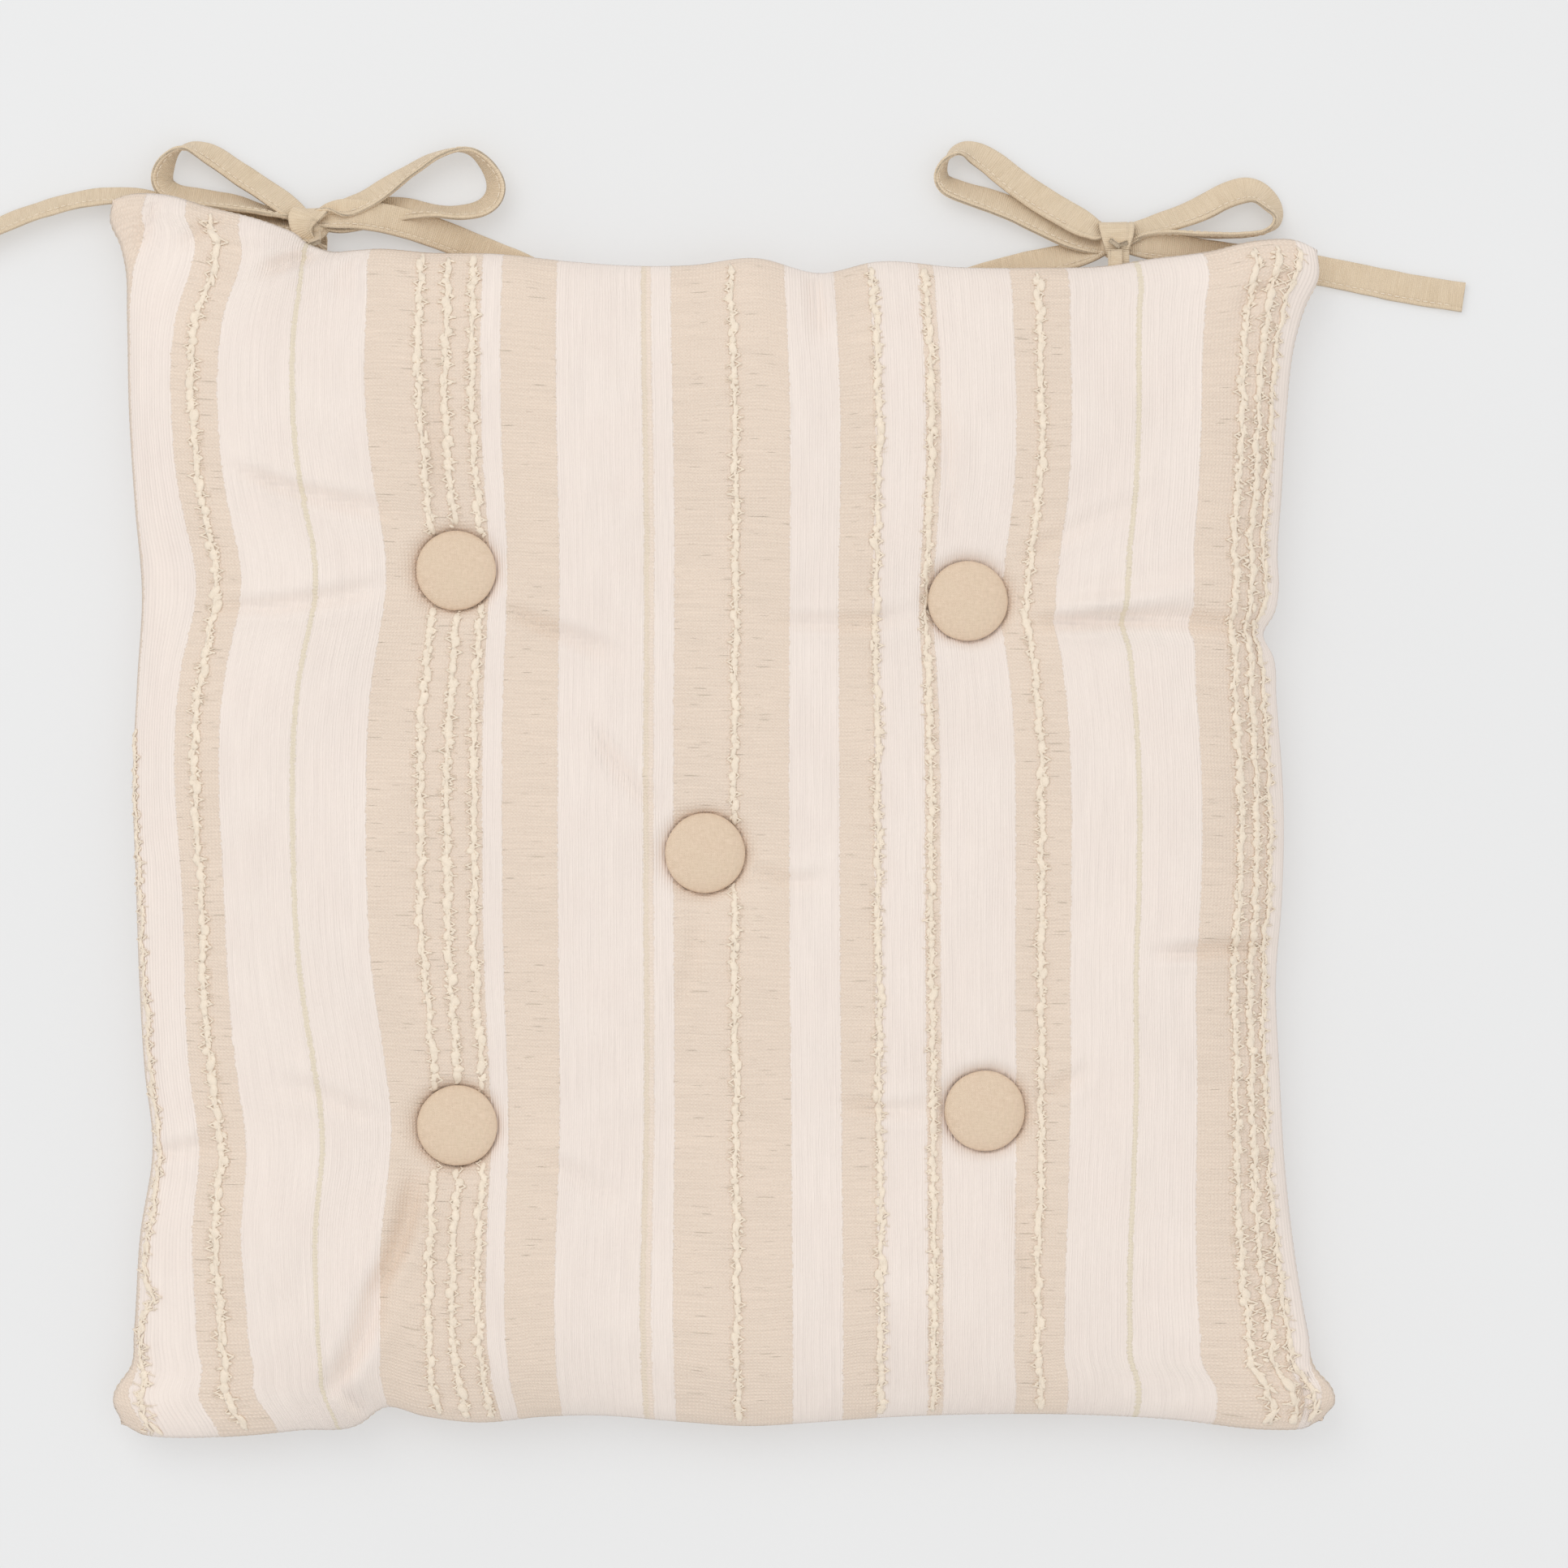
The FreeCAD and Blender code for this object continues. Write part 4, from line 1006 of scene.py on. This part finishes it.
def fringe(pile, read, place, weight, seed, low, high, strays=()):
    """One raised yarn along the cloth: a chain of soft slubs, with nubs, small loops and clipped tufts beside it."""
    r = np.random.default_rng(seed)

    def sway(v):
        away = curve(strays, np.asarray(v, float)) if strays else 0
        return 0.6 * waves(np.asarray(v, float), 0, (38, 15, 7), seed) * 1.4 + away

    def lay(du, dv, at, lift, radii, sides, flat=0.6, rough=0.0):
        """A strand on the cloth, du across and dv along from place and at."""
        on, up = read(place + sway(at + dv) + du, at + dv)
        if clear_of_buttons(on).min() < 13.9:
            return
        pile.add(*strand(on + up * lift[:, None], radii, sides, up, flat, rough, int(at * 97) % 9999 + seed))

    # the thread that holds the chain together
    for start in np.arange(low, high - 4, 9.0):
        t = np.linspace(0, 9.3, 9)
        lay(0.25 * np.sin(t * 1.9 + start), t, start, np.full(9, 0.32), np.full(9, 0.62 * weight), 5)
    at = low
    while at < high - 3:  # slubs
        long, wide = r.uniform(1.8, 5.0), r.uniform(1.3, 2.9) * weight
        t = np.linspace(0, 1, 7)
        turn = r.normal(0, 0.22)
        du = (t - 0.5) * long * math.sin(turn) + r.normal(0, 0.42) * weight
        body = np.sin(np.clip(t, 0.03, 0.97) * math.pi) ** 0.42
        lay(du, t * long * math.cos(turn), at, 0.16 + 0.16 * body, wide / 2 * body, 8, 0.42, 0.18)
        at += long * r.uniform(0.5, 1.05)
    for at in np.cumsum(r.uniform(0.7, 2.6, int((high - low) / 1.4))) + low:  # nubs at either side
        if at > high - 2:
            break
        t = np.linspace(0, 1, 4)
        lean, size = r.choice([-1, 1]), r.uniform(0.6, 1.25) * weight
        out = r.uniform(0.7, 2.0) * weight
        lay(lean * out * (0.35 + 0.65 * t), (t - 0.5) * r.uniform(-1.6, 1.6), at, np.full(4, 0.35),
            size / 2 * np.array([0.9, 1.0, 0.8, 0.35]), 6, 0.7, 0.2)
    for at in np.cumsum(r.uniform(1.8, 6.5, int((high - low) / 3.4))) + low:  # small loops
        if at > high - 3:
            break
        t = np.linspace(0, 1, 9)
        size, lean = r.uniform(1.3, 2.6) * weight, r.choice([-1, 1])
        lay(lean * (0.4 + size * np.sin(t * math.pi)), (t - 0.5) * r.uniform(1.4,
                3.0) + 0.4 * np.sin(t * 2 * math.pi), at,
            0.28 + 0.25 * np.sin(t * math.pi), np.full(9, r.uniform(0.24, 0.36)), 5, 0.8)
    for at in np.cumsum(r.uniform(2.5, 9, int((high - low) / 4.6))) + low:  # clipped tufts
        if at > high - 2:
            break
        lean = r.choice([-1, 1])
        for _ in range(r.integers(2, 5)):
            t = np.linspace(0, 1, 4)
            lay(lean * r.uniform(1.4, 3.0) * weight * t, r.uniform(-1.4, 1.4) * t, at + r.uniform(-0.7, 0.7),
                0.26 + r.uniform(0.0, 0.25) * t, r.uniform(0.16, 0.28) * (1 - 0.6 * t), 4, 0.9)


read_top = surface_reader(top_grid, cloth_u, cloth_v)
piles = {"left": Pile(), "middle": Pile(), "right": Pile()}
for k, (place, weight) in enumerate(FRINGES):
    which = "left" if place < -60 else "middle" if place < 100 else "right"
    fringe(piles[which], read_top, place, weight, 100 + k, cloth_v[0] + 2.5, cloth_v[-1] - 2.5)
fringe(piles["left"], read_top, -198.4, 0.9, 140, cloth_v[0] + 1, 34,
       strays=[(-206, 4.6), (-199, 4.6), (-190, 4.2), (-182, 1.4), (-172, 0.4), (-166, 1.0), (-161, 3.6),
               (-156, 1.6), (-130, 1.5), (-100, 1.2), (-60, 0.6), (-20, 0.2), (34, -1.0)])
fringe_pieces = [pile.piece("fringe_yarns_" + side, YARN, "root", "striped_cloth") for side, pile in piles.items()]

# ---------------------------------------------------------------- seam and tie roots

def seam_stitches():
    """Thread stitches round the pad, a little inside the seam."""
    inset, pitch = 0.2, 2.5
    g = (top_grid + bottom_grid) / 2
    ring = np.vstack([g[:-1, 0], g[-1, :-1], g[:0:-1, -1], g[0, :0:-1], g[:1, 0]])
    out = ring - ring.mean(0)
    ring -= out / np.linalg.norm(out[:, :2], axis=1)[:, None] * inset
    length = along(ring)
    pile = Pile()
    for at in np.arange(0, length[-1], pitch):
        path = read_at(at + np.linspace(0.12, 0.88, 6) * pitch, length, ring)
        path[:, 2] += 0.25 * np.sin(np.linspace(0, math.pi, 6))
        pile.add(*strand(path, 0.24 * np.sin(np.linspace(0.35, math.pi - 0.35, 6)), 5))
    return pile.piece("seam_stitches", THREAD, "root", "thread")


seam = seam_stitches()
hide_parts("seam_thread")


def tie_root(side):
    """The sewn-in end of the two tapes, laid on each other and caught in the seam."""
    low, high = (np.array(corner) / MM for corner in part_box(side + "_tie_tab"))
    x = (low[0] + high[0]) / 2
    sign = 1 if side == "left" else -1
    points, faces, places = [], [], []
    for shift, z in ((1.3, 16.5), (-1.2, 15.0)):
        line = spline_line("root", [(x + shift * sign, y, z - drop) for y, drop in (
            (low[1], 0.3), (low[1] + 4, 0.2), (high[1] - 4, 0.1), (high[1] - 0.1, 0.6))])
        tape = tape_mesh(line, frames_along(line, [90] * 4), 4.9, thick=1.35, seed=31)
        faces += [tuple(len(points) + i for i in f) for f in tape[1]]
        points += list(tape[0])
        places += list(tape[2])
    piece = mesh_piece(side + "_tie_root", points, faces, TAPE, "root", "tape_cloth")
    give_places(piece, "tape", places)
    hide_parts(side + "_tie_tab")


for side in ("left", "right"):
    tie_root(side)

# ---------------------------------------------------------------- buttons

BUTTON_CLOTH = button_cloth("button_cotton")


def covered_button(place, seed):
    """Cloth drawn over the shell: domed face, round rim, and gathers turned in underneath."""
    low, high = (np.array(corner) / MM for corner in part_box("button_cover_" + place))
    centre, radius = (low + high) / 2, (high[0] - low[0]) / 2
    base, peak = low[2], high[2]
    shoulder = base + 2.3
    outer = [(radius * math.sin(t), shoulder + (peak - shoulder) * math.cos(t))
             for t in np.linspace(0.03, math.pi / 2, 20)]
    rim = [(radius, shoulder - 0.6), (radius - 0.12, base + 1.0), (radius - 0.55, base + 0.35),
           (radius - 1.2, base + 0.02),
           (radius - 2.0, base), (radius - 2.9, base + 0.05), (radius - 3.0, base + 0.35), (radius - 2.6, base + 0.6)]
    inner = [(radius - 1.3, base + 0.75), (radius - 0.8, base + 1.6), (radius - 0.62, shoulder)]
    inner += [((radius - 0.6) * math.sin(t), shoulder + (peak - 0.6 - shoulder) * math.cos(t))
              for t in np.linspace(math.pi / 2 - 0.1, 0.05, 9)]
    profile = outer + rim + inner
    sides, points = 112, []
    turn = np.arange(sides) * TURN / sides
    for k, (r, z) in enumerate(profile):
        outward, below = k < len(outer) + len(rim), k >= len(outer)
        under = smooth_step(k, len(outer) + 1, len(outer) + 5)
        pleat = 0.16 * under * outward * np.sin(turn * 22 + 0.8 * np.sin(turn * 3 + seed))
        soft = outward * (0.10 * np.sin(turn * 3 + seed) * (r / radius)
                          + 0.05 * np.sin(turn * 7 + 2 * seed) * (r / radius) ** 2)
        radial = r + soft * 0.5
        points.append(np.stack([centre[0] + radial * np.cos(turn), centre[1] + radial * np.sin(turn),
                                z + np.maximum(pleat, -0.02) * below + soft * 0.2], 1))
    points = np.vstack(points)
    last = (len(profile) - 1) * sides
    faces = [(a, d, c, b) for a, b, c, d in tube_faces(len(profile), sides)]
    faces += [tuple(range(sides)), tuple(range(last, last + sides))[::-1]]
    piece = mesh_piece("covered_button_" + place, points, faces, BUTTON_CLOTH, "tuft_" + place, "button_cloth")
    # the weave lies flat over the dome and turns with each button
    angle = 0.25 * math.sin(3.1 * seed)
    x, y = points[:, 0] - centre[0], points[:, 1] - centre[1]
    drop = (peak - points[:, 2]) * 0.35
    scale = 1 + drop / np.maximum(np.hypot(x, y), 1)
    give_places(piece, "cloth", np.stack([(x * math.cos(angle) + y * math.sin(angle)) * scale,
                                          (-x * math.sin(angle) + y * math.cos(angle)) * scale, 0 * x], 1))
    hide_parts("button_cover_" + place)
    return piece


for k, place in enumerate(PLACES):
    covered_button(place, k + 1)

# ---------------------------------------------------------------- CAD nodes that show as they are

FINISH = {"button_shell_": metal("pressed_shell", (0.80, 0.80, 0.82), (0.4, 0.4, 4.0)),
          "button_plate_": metal("pressed_plate", (0.75, 0.75, 0.77), (3.0, 0.5, 0.5)),
          "wire_eye_": metal("drawn_wire", (0.6, 0.6, 0.62), (2.0, 2.0, 6.0)),
          "twine_": yarn_cloth("waxed_twine", (0.84, 0.78, 0.64), (0.66, 0.58, 0.45), size=0.5),
          "backing_button_": backing_plastic("moulded_backing")}
for prefix, material in FINISH.items():
    for place in PLACES:
        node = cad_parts[prefix + place]
        node.data.materials.clear()
        node.data.materials.append(material)

# ---------------------------------------------------------------- floor and light

floor_mesh = bpy.data.meshes.new("floor")
floor_half, floor_z = 6.0, -0.0003  # in metres
floor_mesh.from_pydata([(x * floor_half, y * floor_half, floor_z) for x, y in ((-1, -1), (1, -1), (1, 1), (-1, 1))],
                       [], [(0, 1, 2, 3)])
floor_mesh.materials.append(floor_paper("studio_floor"))
in_scene("floor", floor_mesh)

world = bpy.data.worlds.new("studio")
bpy.context.scene.world = world
world.use_nodes = True
world.node_tree.nodes["Background"].inputs["Color"].default_value = (0.985, 0.99, 1.0, 1)
world.node_tree.nodes["Background"].inputs["Strength"].default_value = 0.80


def soft_box(name, place, size, power, colour=(1, 1, 1)):
    data = bpy.data.lights.new(name, "AREA")
    data.shape, data.size, data.energy, data.color = "SQUARE", size, power, colour
    light = in_scene(name, data)
    light.location = place
    light.rotation_euler = (-Vector(place)).to_track_quat("-Z", "Y").to_euler()


soft_box("key", (-0.9, 1.2, 2.2), 1.8, 15, (1.0, 0.985, 0.965))
soft_box("overhead", (0.5, -0.4, 2.8), 2.6, 10)
bpy.context.scene.view_settings.view_transform = "Standard"
